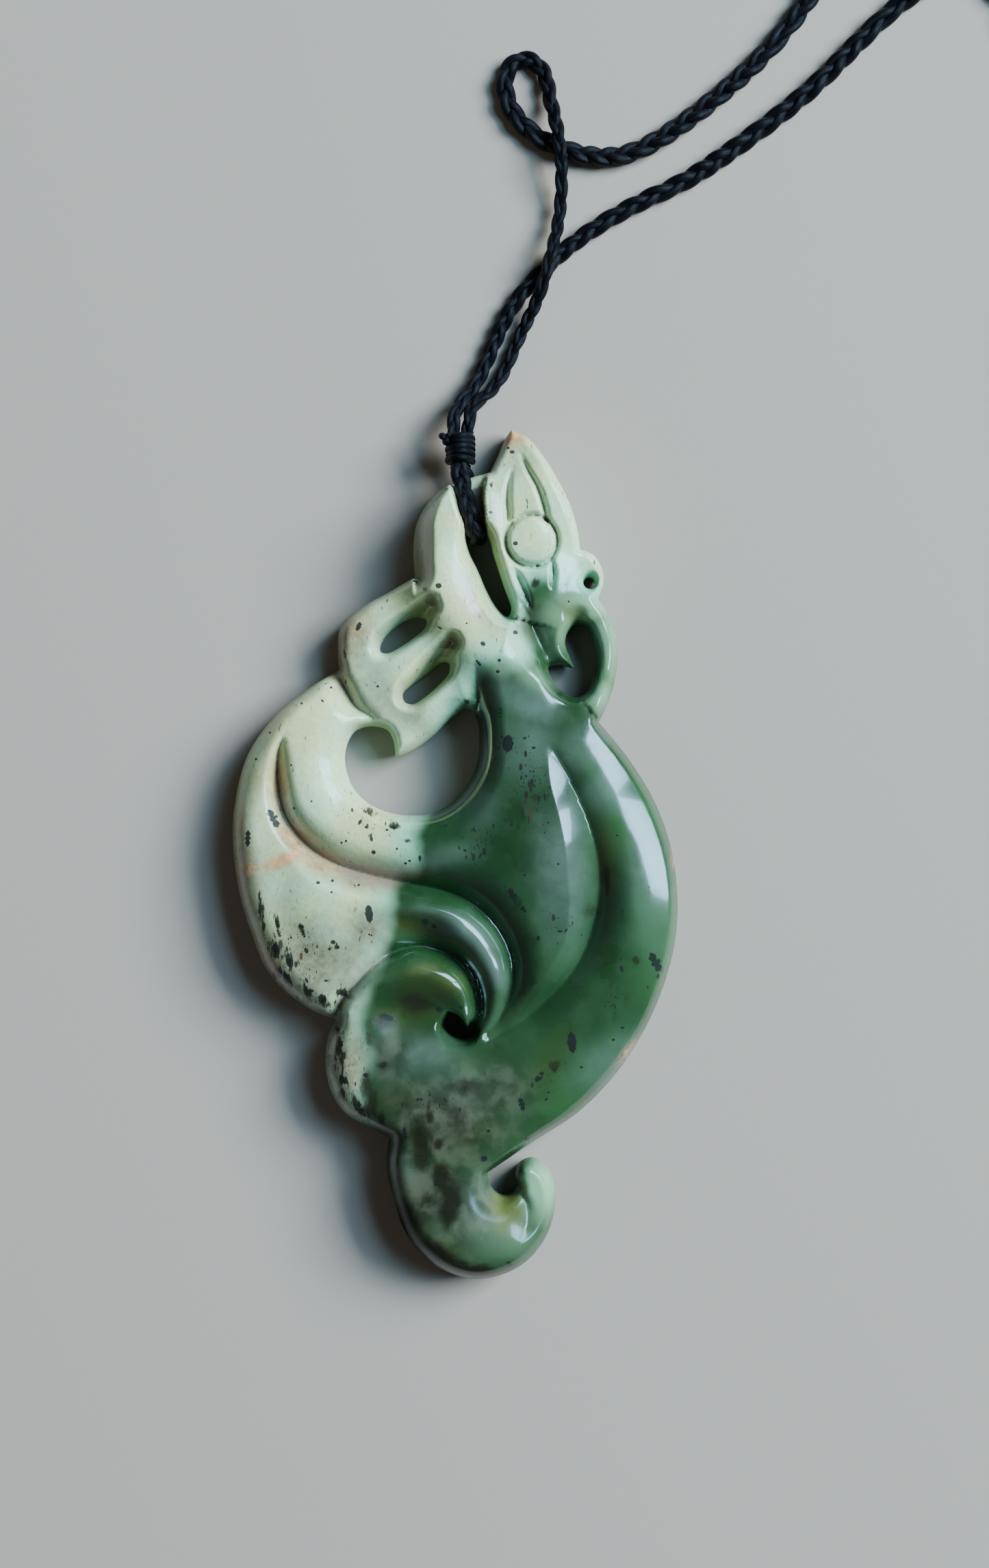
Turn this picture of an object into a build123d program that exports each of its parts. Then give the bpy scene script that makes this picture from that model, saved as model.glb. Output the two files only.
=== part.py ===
from build123d import *

import math
import os

import numpy as np
from scipy.spatial import Delaunay

# A carved stone pendant, lying on its flat back, with its plaited neck cord.
# Millimetres. X runs across the stone, Y up to its head, Z up from the surface that it lies on.
# The origin is under the middle of the stone.

# the stone
WIDTH = 50.0
HEIGHT = 95.6
THICKNESS = 9.0          # at the neck, its thickest place
WAIST = 0.42             # where the rounded edge is widest, as a share of the thickness there
WEB_FRONT = 4.7          # height of the seat that the becket lies in, on the thin web beside the neck
EYE_RADIUS = 2.85
EYE_RISE = 0.8
EAR_HOLE_RADIUS = 0.62

# the cord
CORD_DIAMETER = 1.6
BECKET_DIAMETER = 2.1
SEAT_GAP = 0.1           # between the becket and the web's front
PASSAGE_GAP = 0.08       # round the becket where it goes through the stone and along its back
WHIPPING_WIDE = 3.4
WHIPPING_LONG = 3.5
WHIPPING_ABOVE_WEB = 1.3
WHIPPING_ASIDE = 0.85    # from the top of the seat in the web, away from the head
KNOT_DIAMETER = 1.5
STRAND_GAP = 0.05        # between the two cord ends where they leave the whipping
STRAND_STUB = 1.5        # that they leave it straight

# fineness of the stone's facets
CURVE_STEPS = 8          # straight pieces between two rows of a table
EDGE_STEP = 1.05
SMALL_EDGE_STEP = 0.62
EDGE_ROWS = (0.3, 0.95)  # how far in from the outline the rows of points run that round the edge
GROOVE_STEP = 0.95
GRID_STEP = 1.5
FINE_GRID_STEP = 0.85
NEAREST = 0.62           # share of its own step that a point keeps from those before it

# The outline in stretches, clockwise from the tip of the head. Between two stretches stands a sharp corner.
# columns: across, up (percent of WIDTH and HEIGHT, from the lower left)
OUTLINE = {
    "head_back": [(62.6, 100.0), (66.3, 99.1), (69.8, 96.9), (72.8, 94.3), (75.5, 91.5), (77.5, 88.3),
                  (78.2, 85.9)],
    "ear": [(78.2, 85.9), (81.2, 85.2), (83.2, 83.5), (83.5, 82.0), (82.2, 80.0)],
    "beak_ring": [(82.2, 80.0), (84.5, 78.2), (86.5, 75.0), (86.3, 71.3), (84.5, 67.9), (82.3, 65.5)],
    "back": [(82.3, 65.5), (89.1, 61.1), (94.8, 56.2), (98.6, 50.6), (100.0, 44.0), (98.9, 38.3),
             (94.3, 31.2), (87.2, 24.9), (78.2, 19.9), (68.2, 16.4), (57.5, 12.7)],
    "notch": [(57.5, 12.7), (58.0, 11.0), (60.2, 9.9), (62.3, 10.0), (64.0, 11.0)],
    "tail": [(64.0, 11.0), (63.5, 12.3), (64.6, 13.7), (67.4, 14.2), (70.3, 13.3), (72.2, 11.3), (72.5, 8.3),
             (70.0, 4.5), (64.2, 1.4), (54.9, 0.0), (46.2, 1.4), (39.7, 4.8), (36.2, 9.3), (34.6, 13.9),
             (35.2, 16.7)],
    "lobe": [(35.2, 16.7), (30.5, 18.0), (25.2, 19.6), (22.0, 22.2), (20.8, 25.6), (21.4, 28.4), (22.9, 30.5)],
    "wing": [(22.9, 30.5), (18.0, 31.6), (11.8, 33.9), (7.4, 36.6), (4.2, 40.7), (1.5, 45.3), (0.0, 51.4),
             (0.3, 55.4), (3.1, 61.4), (8.9, 65.9), (16.2, 69.2), (23.7, 71.7)],
    "comb": [(23.7, 71.7), (23.5, 74.3), (24.3, 76.9), (29.2, 79.1), (35.1, 80.8), (40.9, 82.5)],
    "neck": [(40.9, 82.5), (40.5, 85.6), (41.2, 88.8), (43.8, 91.4), (46.5, 92.8)],
    "web": [(46.5, 92.8), (53.5, 94.3), (57.8, 94.9)],
    "head_front": [(57.8, 94.9), (59.5, 96.8), (61.2, 98.9), (62.6, 100.0)],
}

# openings cut right through, each a closed line of stretches with the outline's columns
OPENINGS = {
    "cord_slot": [
        [(55.1, 88.3), (57.3, 87.3), (58.8, 84.8), (60.8, 81.6), (62.6, 78.6), (61.7, 77.9), (59.7, 78.7),
         (57.2, 80.8), (55.1, 83.3), (53.1, 85.5), (52.5, 87.2), (53.3, 88.1), (55.1, 88.3)]],
    "beak_opening": [
        [(76.6, 71.9), (75.7, 73.3), (74.8, 74.6), (75.2, 75.9), (76.9, 76.9), (79.1, 76.7), (80.9, 75.1),
         (81.7, 73.1), (81.2, 70.9), (79.5, 69.0), (76.9, 68.4), (73.8, 69.2), (71.5, 70.9), (71.1, 71.9),
         (73.1, 72.2), (75.1, 72.0), (76.6, 71.9)]],
    "comb_slot_high": [
        [(33.1, 74.5), (34.8, 75.9), (38.2, 77.3), (41.5, 77.9), (43.5, 77.5), (43.2, 76.6), (40.6, 75.4),
         (37.2, 74.2), (34.6, 73.6), (33.2, 73.8), (33.1, 74.5)]],
    "comb_slot_low": [
        [(38.2, 68.8), (40.0, 69.8), (43.7, 71.3), (46.9, 72.5), (48.6, 72.4), (48.6, 71.3), (46.2, 69.8),
         (43.1, 68.4), (40.5, 67.6), (38.6, 67.9), (38.2, 68.8)]],
    "great_opening": [
        [(37.7, 61.5), (40.2, 62.1), (44.8, 63.8), (49.4, 66.1), (52.5, 67.1), (54.8, 66.0), (55.4, 63.2),
         (54.5, 60.0), (50.2, 56.5), (45.5, 54.9), (39.7, 54.5), (34.3, 55.0), (30.0, 56.1), (26.6, 58.1),
         (25.1, 61.6), (27.2, 64.3), (30.8, 65.0), (34.6, 64.6), (36.0, 63.4), (36.5, 61.4)],
        [(36.5, 61.4), (37.7, 61.5)]],
    "curl_opening": [
        [(53.8, 30.3), (54.3, 29.3), (52.9, 28.4), (50.6, 28.3), (48.5, 28.9), (47.4, 30.0), (48.8, 31.3)],
        [(48.8, 31.3), (50.6, 30.8), (51.8, 30.1), (52.8, 29.6)],
        [(52.8, 29.6), (53.8, 30.3)]],
}
EAR_HOLE = (80.2, 81.9)
EYE = (67.1, 86.55)

# The stone before it is carved, and how far in its edge is rounded.
# columns: across, up (percent), thick (percent of THICKNESS), rounded (percent of WIDTH)
STATIONS = [
    (62.6, 98.9, 44, 2.0), (67.0, 91.0, 72, 2.4), (69.0, 82.0, 66, 2.0), (80.6, 83.0, 48, 1.6),
    (78.5, 78.4, 59, 2.4), (84.0, 73.0, 50, 2.2), (81.6, 66.9, 86, 2.4), (73.0, 73.9, 56, 2.4),
    (48.5, 89.2, 92, 2.5), (51.0, 82.0, 98, 3.0), (57.7, 75.5, 100, 4.0), (67.0, 70.7, 96, 3.0),
    (30.8, 78.0, 58, 2.6), (40.0, 73.1, 64, 2.0), (46.0, 68.3, 68, 2.0), (38.5, 63.0, 54, 2.4),
    (27.0, 74.0, 54, 3.5), (6.0, 58.0, 70, 6.5), (5.0, 47.0, 72, 6.5), (12.0, 37.7, 76, 7.0),
    (20.0, 60.0, 74, 3.0), (34.0, 51.8, 78, 3.0), (21.5, 44.1, 86, 3.0), (43.0, 44.1, 90, 3.0),
    (57.7, 38.1, 90, 2.0), (59.2, 32.9, 82, 2.0), (46.0, 36.1, 78, 1.5), (52.3, 31.2, 68, 1.2),
    (26.0, 24.8, 72, 6.5), (34.0, 29.6, 76, 4.0), (61.5, 65.9, 94, 3.0), (70.8, 53.8, 98, 4.0),
    (64.6, 37.7, 90, 3.0), (86.0, 60.2, 94, 2.2), (93.8, 49.0, 90, 2.4), (89.0, 33.7, 86, 3.4),
    (75.4, 23.2, 82, 4.5), (47.7, 21.6, 84, 5.0), (40.0, 13.5, 78, 5.0), (52.3, 7.9, 82, 6.0),
    (55.4, 2.3, 70, 6.0), (68.5, 10.3, 54, 3.0), (57.5, 13.5, 80, 3.0),
]
STATION_REACH = 6.0      # percent of WIDTH over which neighbouring stations blend

ROUND = 0                # the shape of a flank that rolls over like an oval; others are powers
ROUND_SHARE = 0.85       # how much of the oval's half width it takes

# left and right shapes; columns: across, up (percent), deep (percent of THICKNESS), left, right (flank
# widths, percent of WIDTH)
CUTS = {
    "wing_groove": (2.0, ROUND, [
        (11.8, 63.8, 2, 2.0, 1.0), (10.5, 61.8, 14, 4.0, 2.0), (10.2, 58.0, 26, 5.0, 3.0),
        (11.8, 54.4, 28, 6.0, 4.0), (16.8, 51.1, 29, 7.0, 5.5), (23.8, 48.8, 30, 7.5, 7.0),
        (30.8, 47.6, 31, 8.0, 7.0), (40.0, 46.6, 32, 9.0, 7.0), (47.7, 45.7, 32, 9.5, 7.0),
        (53.8, 44.3, 30, 9.5, 7.5), (58.8, 41.9, 28, 9.0, 8.0), (62.0, 38.9, 26, 8.0, 8.0),
        (62.9, 36.2, 24, 7.0, 6.5), (62.2, 33.7, 20, 6.0, 5.0), (59.7, 30.8, 14, 5.0, 4.0),
        (57.2, 29.3, 6, 4.0, 2.0)]),
    "curl_groove": (2.0, ROUND, [
        (22.9, 30.5, 34, 3.0, 3.0), (25.1, 33.1, 26, 3.0, 3.0), (28.2, 34.9, 18, 3.0, 3.0),
        (32.0, 37.1, 15, 4.0, 3.5), (36.2, 38.6, 24, 6.0, 4.5), (41.8, 39.3, 30, 8.0, 6.0),
        (47.7, 38.5, 32, 8.0, 6.5), (52.3, 36.7, 32, 7.0, 6.5), (54.8, 34.1, 30, 6.0, 5.5),
        (55.2, 31.9, 26, 5.0, 4.0), (54.2, 30.1, 20, 4.0, 2.0)]),
    "leaf_groove": (2.0, 1.05, [
        (72.0, 62.1, 2, 2.0, 2.0), (75.2, 59.1, 8, 5.0, 4.4), (78.6, 55.2, 12, 6.5, 5.8),
        (81.2, 51.2, 15, 7.0, 6.8), (82.3, 46.5, 19, 7.5, 7.0), (81.4, 42.9, 22, 8.0, 6.0),
        (78.6, 38.5, 22, 8.0, 5.0), (74.5, 35.3, 19, 8.0, 4.5), (68.9, 32.5, 15, 7.0, 4.0),
        (63.8, 30.3, 10, 6.0, 3.5), (58.5, 28.7, 5, 5.0, 2.0)]),
    "rim_slope": (1.0, 1.25, [
        (82.3, 65.5, 8, 1.0, 8.0), (86.0, 63.2, 15, 1.0, 10.0), (89.1, 61.1, 17, 1.0, 10.0),
        (94.8, 56.2, 18, 1.0, 10.5), (98.6, 50.6, 17, 1.0, 10.5), (100.0, 44.0, 14, 1.0, 11.0),
        (98.9, 38.3, 11, 1.0, 12.0), (94.3, 31.2, 10, 1.0, 11.0), (87.2, 24.9, 10, 1.0, 10.0),
        (78.2, 19.9, 8, 1.0, 9.0)]),
    "neck_slope": (1.0, 1.6, [
        (53.2, 88.0, 4, 1.0, 5.0), (54.0, 84.0, 12, 1.0, 8.0), (57.4, 80.2, 16, 1.0, 9.0),
        (60.4, 78.2, 16, 1.0, 9.0), (62.8, 77.8, 14, 1.0, 8.0)]),
    "opening_bevel": (1.2, 1.2, [
        (54.4, 72.5, 2, 2.4, 2.4), (54.9, 69.6, 12, 4.0, 3.0), (55.2, 66.4, 20, 5.4, 2.0),
        (55.5, 63.2, 24, 6.0, 1.0), (54.7, 60.0, 22, 6.2, 1.0), (50.4, 56.4, 14, 6.0, 1.0),
        (45.5, 54.7, 4, 4.0, 1.0)]),
    "neck_bevel": (1.0, 1.0, [
        (46.5, 92.8, 34, 2.6, 1.0), (43.8, 91.4, 40, 3.6, 1.0), (41.2, 88.8, 44, 4.6, 1.0),
        (40.5, 85.6, 44, 5.2, 1.0), (40.9, 82.7, 40, 5.0, 1.0)]),
    "jaw_groove": (2.0, 2.0, [
        (62.8, 78.0, 16, 2.0, 3.6), (64.9, 76.5, 26, 4.0, 4.6), (67.4, 74.0, 30, 5.0, 4.8),
        (70.0, 71.6, 26, 5.0, 4.6), (71.7, 69.9, 10, 3.0, 3.0)]),
    "comb_valley": (2.0, 2.0, [
        (22.0, 72.3, 26, 4.0, 5.0), (25.1, 69.5, 22, 4.0, 5.0), (27.7, 67.3, 16, 4.0, 5.0),
        (31.5, 66.0, 8, 3.0, 3.0)]),
    "comb_scoop_high": (1.3, 1.3, [
        (34.6, 75.0, 34, 3.6, 3.2), (39.6, 76.9, 38, 3.6, 3.2), (44.6, 78.9, 32, 3.2, 3.0)]),
    "comb_scoop_low": (1.3, 1.3, [
        (40.0, 69.2, 34, 3.6, 3.2), (44.6, 71.8, 38, 3.6, 3.2), (49.4, 74.6, 30, 3.2, 3.0)]),
    "comb_bevel": (1.0, 1.0, [
        (37.7, 61.4, 10, 3.5, 1.0), (44.8, 63.7, 16, 4.6, 1.0), (49.4, 66.0, 16, 4.6, 1.0),
        (53.0, 67.4, 10, 3.6, 1.0)]),
    "brow_front": (1.2, 1.2, [
        (62.8, 95.2, 1, 0.8, 0.5), (61.8, 93.2, 8, 1.3, 0.6), (61.5, 91.2, 11, 1.5, 0.6),
        (61.7, 89.5, 11, 1.5, 0.6), (61.8, 88.1, 4, 1.0, 0.6)]),
    "brow_back": (1.2, 1.2, [
        (64.8, 96.7, 2, 0.8, 0.8), (66.3, 94.8, 8, 1.1, 0.9), (68.3, 92.8, 10, 1.2, 0.9),
        (69.7, 90.7, 11, 1.2, 0.9), (70.5, 89.0, 11, 1.2, 0.9)]),
    "cheek_back": (1.2, 1.2, [
        (71.7, 84.4, 4, 0.8, 0.8), (72.0, 82.7, 10, 1.1, 1.0), (71.7, 81.2, 2, 0.8, 0.8)]),
    "cheek_front": (1.2, 1.2, [
        (63.2, 83.3, 3, 1.0, 0.5), (64.2, 82.0, 11, 1.6, 0.6), (65.5, 80.4, 11, 1.6, 0.6),
        (67.1, 78.5, 1, 0.8, 0.5)]),
    "hook_groove": (2.0, 2.0, [
        (63.8, 10.9, 6, 1.6, 4.0), (65.9, 9.3, 7, 2.4, 6.0), (66.2, 7.1, 4, 2.6, 5.0),
        (64.6, 5.0, 1, 2.0, 4.0)]),
}
# where the pale stone on its right meets the green stone; columns: across, up (percent)
COLOUR_LINE = [
    (87.0, 82.0), (82.6, 80.1), (78.5, 80.5), (73.8, 79.5), (69.2, 78.3), (65.4, 77.0), (66.9, 74.3),
    (70.0, 72.1), (65.4, 69.9), (61.5, 71.1), (57.2, 71.9), (55.4, 69.9), (54.9, 66.6), (48.0, 58.0),
    (43.8, 54.5), (41.2, 52.5), (41.5, 50.2), (40.5, 47.7), (36.6, 46.6), (36.0, 44.5), (34.0, 42.9),
    (34.0, 41.1), (32.9, 38.7), (33.2, 37.0), (31.4, 34.9), (29.4, 32.2), (30.0, 29.1), (30.6, 26.3),
    (29.7, 24.6), (28.8, 22.5), (29.6, 20.5), (30.6, 18.8), (30.0, 17.2), (20.0, 15.0)]

# soft patches; columns: across, up (percent), half_across, half_up (percent of WIDTH), turn (degrees),
# strength
TINTS = {
    "tan": [
        (0.8, 50.5, 3.6, 15.0, 6, 0.7), (10.9, 49.4, 5.0, 1.8, 20, 0.8), (3.6, 39.0, 3.0, 9.0, 28, 0.6),
        (11.0, 59.0, 2.0, 9.0, 3, 0.5), (17.0, 51.3, 7.0, 2.0, -36, 0.5), (31.0, 48.4, 9.0, 1.6, -12, 0.45),
        (12.0, 65.5, 6.0, 3.0, 30, 0.3), (63.1, 99.0, 5.0, 3.4, 0, 0.8), (88.5, 26.8, 2.0, 5.0, -40, 0.4),
        (42.0, 84.5, 4.0, 9.0, 0, 0.3), (29.0, 77.0, 5.0, 3.0, 20, 0.3), (83.0, 83.2, 1.8, 2.4, 0, 0.5)],
    "olive": [
        (40.5, 42.1, 9.0, 2.8, 0, 0.9), (43.8, 34.4, 8.5, 3.4, -10, 1.0), (40.5, 31.3, 8.0, 4.4, 0, 0.6),
        (62.6, 8.9, 3.2, 5.5, 10, 0.9), (76.8, 78.0, 2.6, 1.6, 0, 0.5), (40.5, 48.0, 5.0, 2.0, -10, 0.7),
        (83.4, 49.0, 2.0, 10.0, 4, 0.6), (71.0, 26.4, 3.4, 9.0, -25, 0.5), (57.7, 18.0, 5.0, 3.0, 0, 0.5),
        (36.0, 21.5, 4.0, 2.4, 0, 0.5), (46.2, 4.7, 7.0, 4.6, 0, 0.5)],
    "deep": [
        (57.0, 64.0, 2.8, 11.0, -3, 0.9), (51.0, 54.2, 10.0, 3.0, 35, 0.8), (57.7, 47.0, 11.0, 6.0, -25, 0.6),
        (65.4, 37.0, 4.4, 11.0, 12, 0.7), (76.0, 43.6, 5.0, 9.0, 10, 0.35), (86.4, 44.1, 3.4, 14.0, 10, 0.45),
        (72.0, 32.5, 4.0, 8.0, -40, 0.6), (64.0, 60.0, 7.0, 10.0, 0, 0.3)],
    "mist": [
        (55.0, 40.0, 4.4, 8.0, 40, 0.7), (59.6, 34.0, 3.8, 9.0, -12, 0.8), (40.5, 26.4, 12.0, 6.0, 0, 0.6),
        (74.0, 47.5, 6.0, 16.0, 4, 0.5), (55.8, 8.7, 9.0, 8.0, 0, 0.7), (40.5, 12.2, 4.0, 10.0, 10, 0.5),
        (48.5, 49.8, 9.0, 3.2, 12, 0.5), (65.5, 68.6, 10.0, 4.0, -35, 0.8), (52.0, 22.0, 14.0, 7.0, 0, 0.35)],
    "aqua": [
        (69.2, 11.0, 5.0, 8.0, 0, 0.9), (72.6, 76.6, 6.0, 6.0, 0, 0.75), (80.0, 79.0, 8.0, 3.4, -15, 0.8),
        (84.6, 75.0, 4.0, 10.0, 3, 0.8), (82.0, 68.5, 3.5, 5.0, 0, 0.6),
        (61.5, 5.2, 10.0, 6.0, 0, 0.45), (48.0, 6.5, 4.0, 4.0, 0, 0.4)],
    "murk": [
        (46.0, 8.0, 16.0, 14.0, 0, 0.9), (40.0, 14.0, 9.0, 12.0, 10, 0.9), (45.0, 22.0, 18.0, 12.0, 0, 0.85),
        (35.5, 29.0, 7.0, 10.0, 0, 0.7), (60.0, 16.0, 10.0, 5.0, 20, 0.4)],
    "bright": [
        (94.0, 40.5, 7.0, 17.0, 6, 0.6), (82.5, 57.5, 4.6, 13.0, 30, 0.5), (81.5, 27.4, 9.0, 7.0, 40, 0.5),
        (84.0, 70.0, 3.4, 6.0, 3, 0.5)],
    "cloud": [
        (42.2, 15.3, 2.2, 5.6, 5, 0.8), (43.8, 13.6, 2.0, 4.4, 0, 0.8), (49.4, 12.9, 3.2, 7.0, -5, 0.9),
        (49.1, 8.8, 2.4, 5.4, 0, 0.8), (39.2, 7.4, 3.2, 4.4, 0, 0.6), (45.8, 3.9, 5.6, 2.8, -15, 0.8),
        (50.5, 1.4, 3.2, 2.2, 0, 1.0), (56.3, 1.3, 2.6, 2.0, 0, 1.0), (46.5, 16.6, 1.4, 1.6, 0, 1.0),
        (51.7, 18.9, 1.7, 2.6, 0, 0.6), (44.3, 19.5, 0.8, 2.4, 0, 0.7), (34.0, 19.1, 1.0, 3.2, 0, 0.6),
        (31.4, 18.9, 1.6, 2.2, 0, 0.6), (34.3, 31.1, 1.7, 1.1, -20, 0.9), (83.6, 47.3, 1.1, 3.4, 4, 0.9),
        (80.0, 43.5, 2.2, 1.8, 0, 0.5), (90.2, 37.9, 1.2, 1.1, 0, 0.6), (72.1, 25.6, 1.5, 1.8, 0, 0.6),
        (73.4, 68.7, 1.1, 0.9, 0, 0.8), (67.8, 81.6, 1.2, 1.3, 0, 0.8), (63.2, 88.0, 1.0, 1.5, 0, 0.4),
        (58.0, 93.0, 0.7, 1.3, 0, 0.4), (52.6, 67.8, 1.0, 0.7, 0, 0.5), (23.9, 28.2, 1.4, 4.4, 5, 0.95),
        (22.8, 25.4, 1.0, 3.6, 12, 0.9), (25.2, 24.4, 1.4, 3.0, 10, 0.95), (28.8, 20.6, 1.1, 3.4, 18, 0.9), (6.6, 42.6, 0.8, 4.6, 6, 0.9),
        (9.4, 41.4, 0.7, 2.6, 16, 0.7), (9.9, 38.9, 1.1, 2.6, 20, 0.8), (13.3, 38.0, 1.0, 1.2, 0, 0.7),
        (10.8, 36.4, 1.6, 1.6, 0, 0.7), (12.8, 35.4, 1.0, 2.2, 15, 0.8), (16.4, 41.2, 0.8, 1.8, 12, 0.6),
        (18.4, 34.0, 1.0, 2.0, 20, 0.7), (20.6, 33.2, 0.8, 2.0, 15, 0.7), (22.6, 39.4, 1.4, 1.0, 0, 0.5),
        (17.2, 38.8, 0.8, 1.4, 0, 0.6), (15.6, 33.6, 1.8, 1.0, -30, 0.6), (25.0, 34.0, 1.2, 1.0, 0, 0.8),
        (29.6, 55.6, 1.6, 0.8, -30, 0.6), (34.2, 54.7, 2.0, 0.7, -15, 0.6)],
    "grain": [
        (13.8, 38.2, 9.0, 9.0, 0, 0.9), (18.5, 33.6, 9.0, 4.0, -25, 1.0), (33.8, 54.2, 12.0, 5.0, -10, 0.5),
        (68.2, 55.2, 6.0, 6.0, 0, 0.6), (54.3, 50.7, 5.0, 4.0, 0, 0.6), (85.8, 32.9, 4.0, 4.0, 0, 0.7),
        (24.6, 24.8, 4.0, 9.0, 5, 0.8), (46.2, 21.6, 16.0, 7.0, 0, 0.5), (70.0, 24.0, 5.0, 6.0, 0, 0.6),
        (64.0, 96.0, 4.0, 3.0, 0, 0.4)],
}

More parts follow.
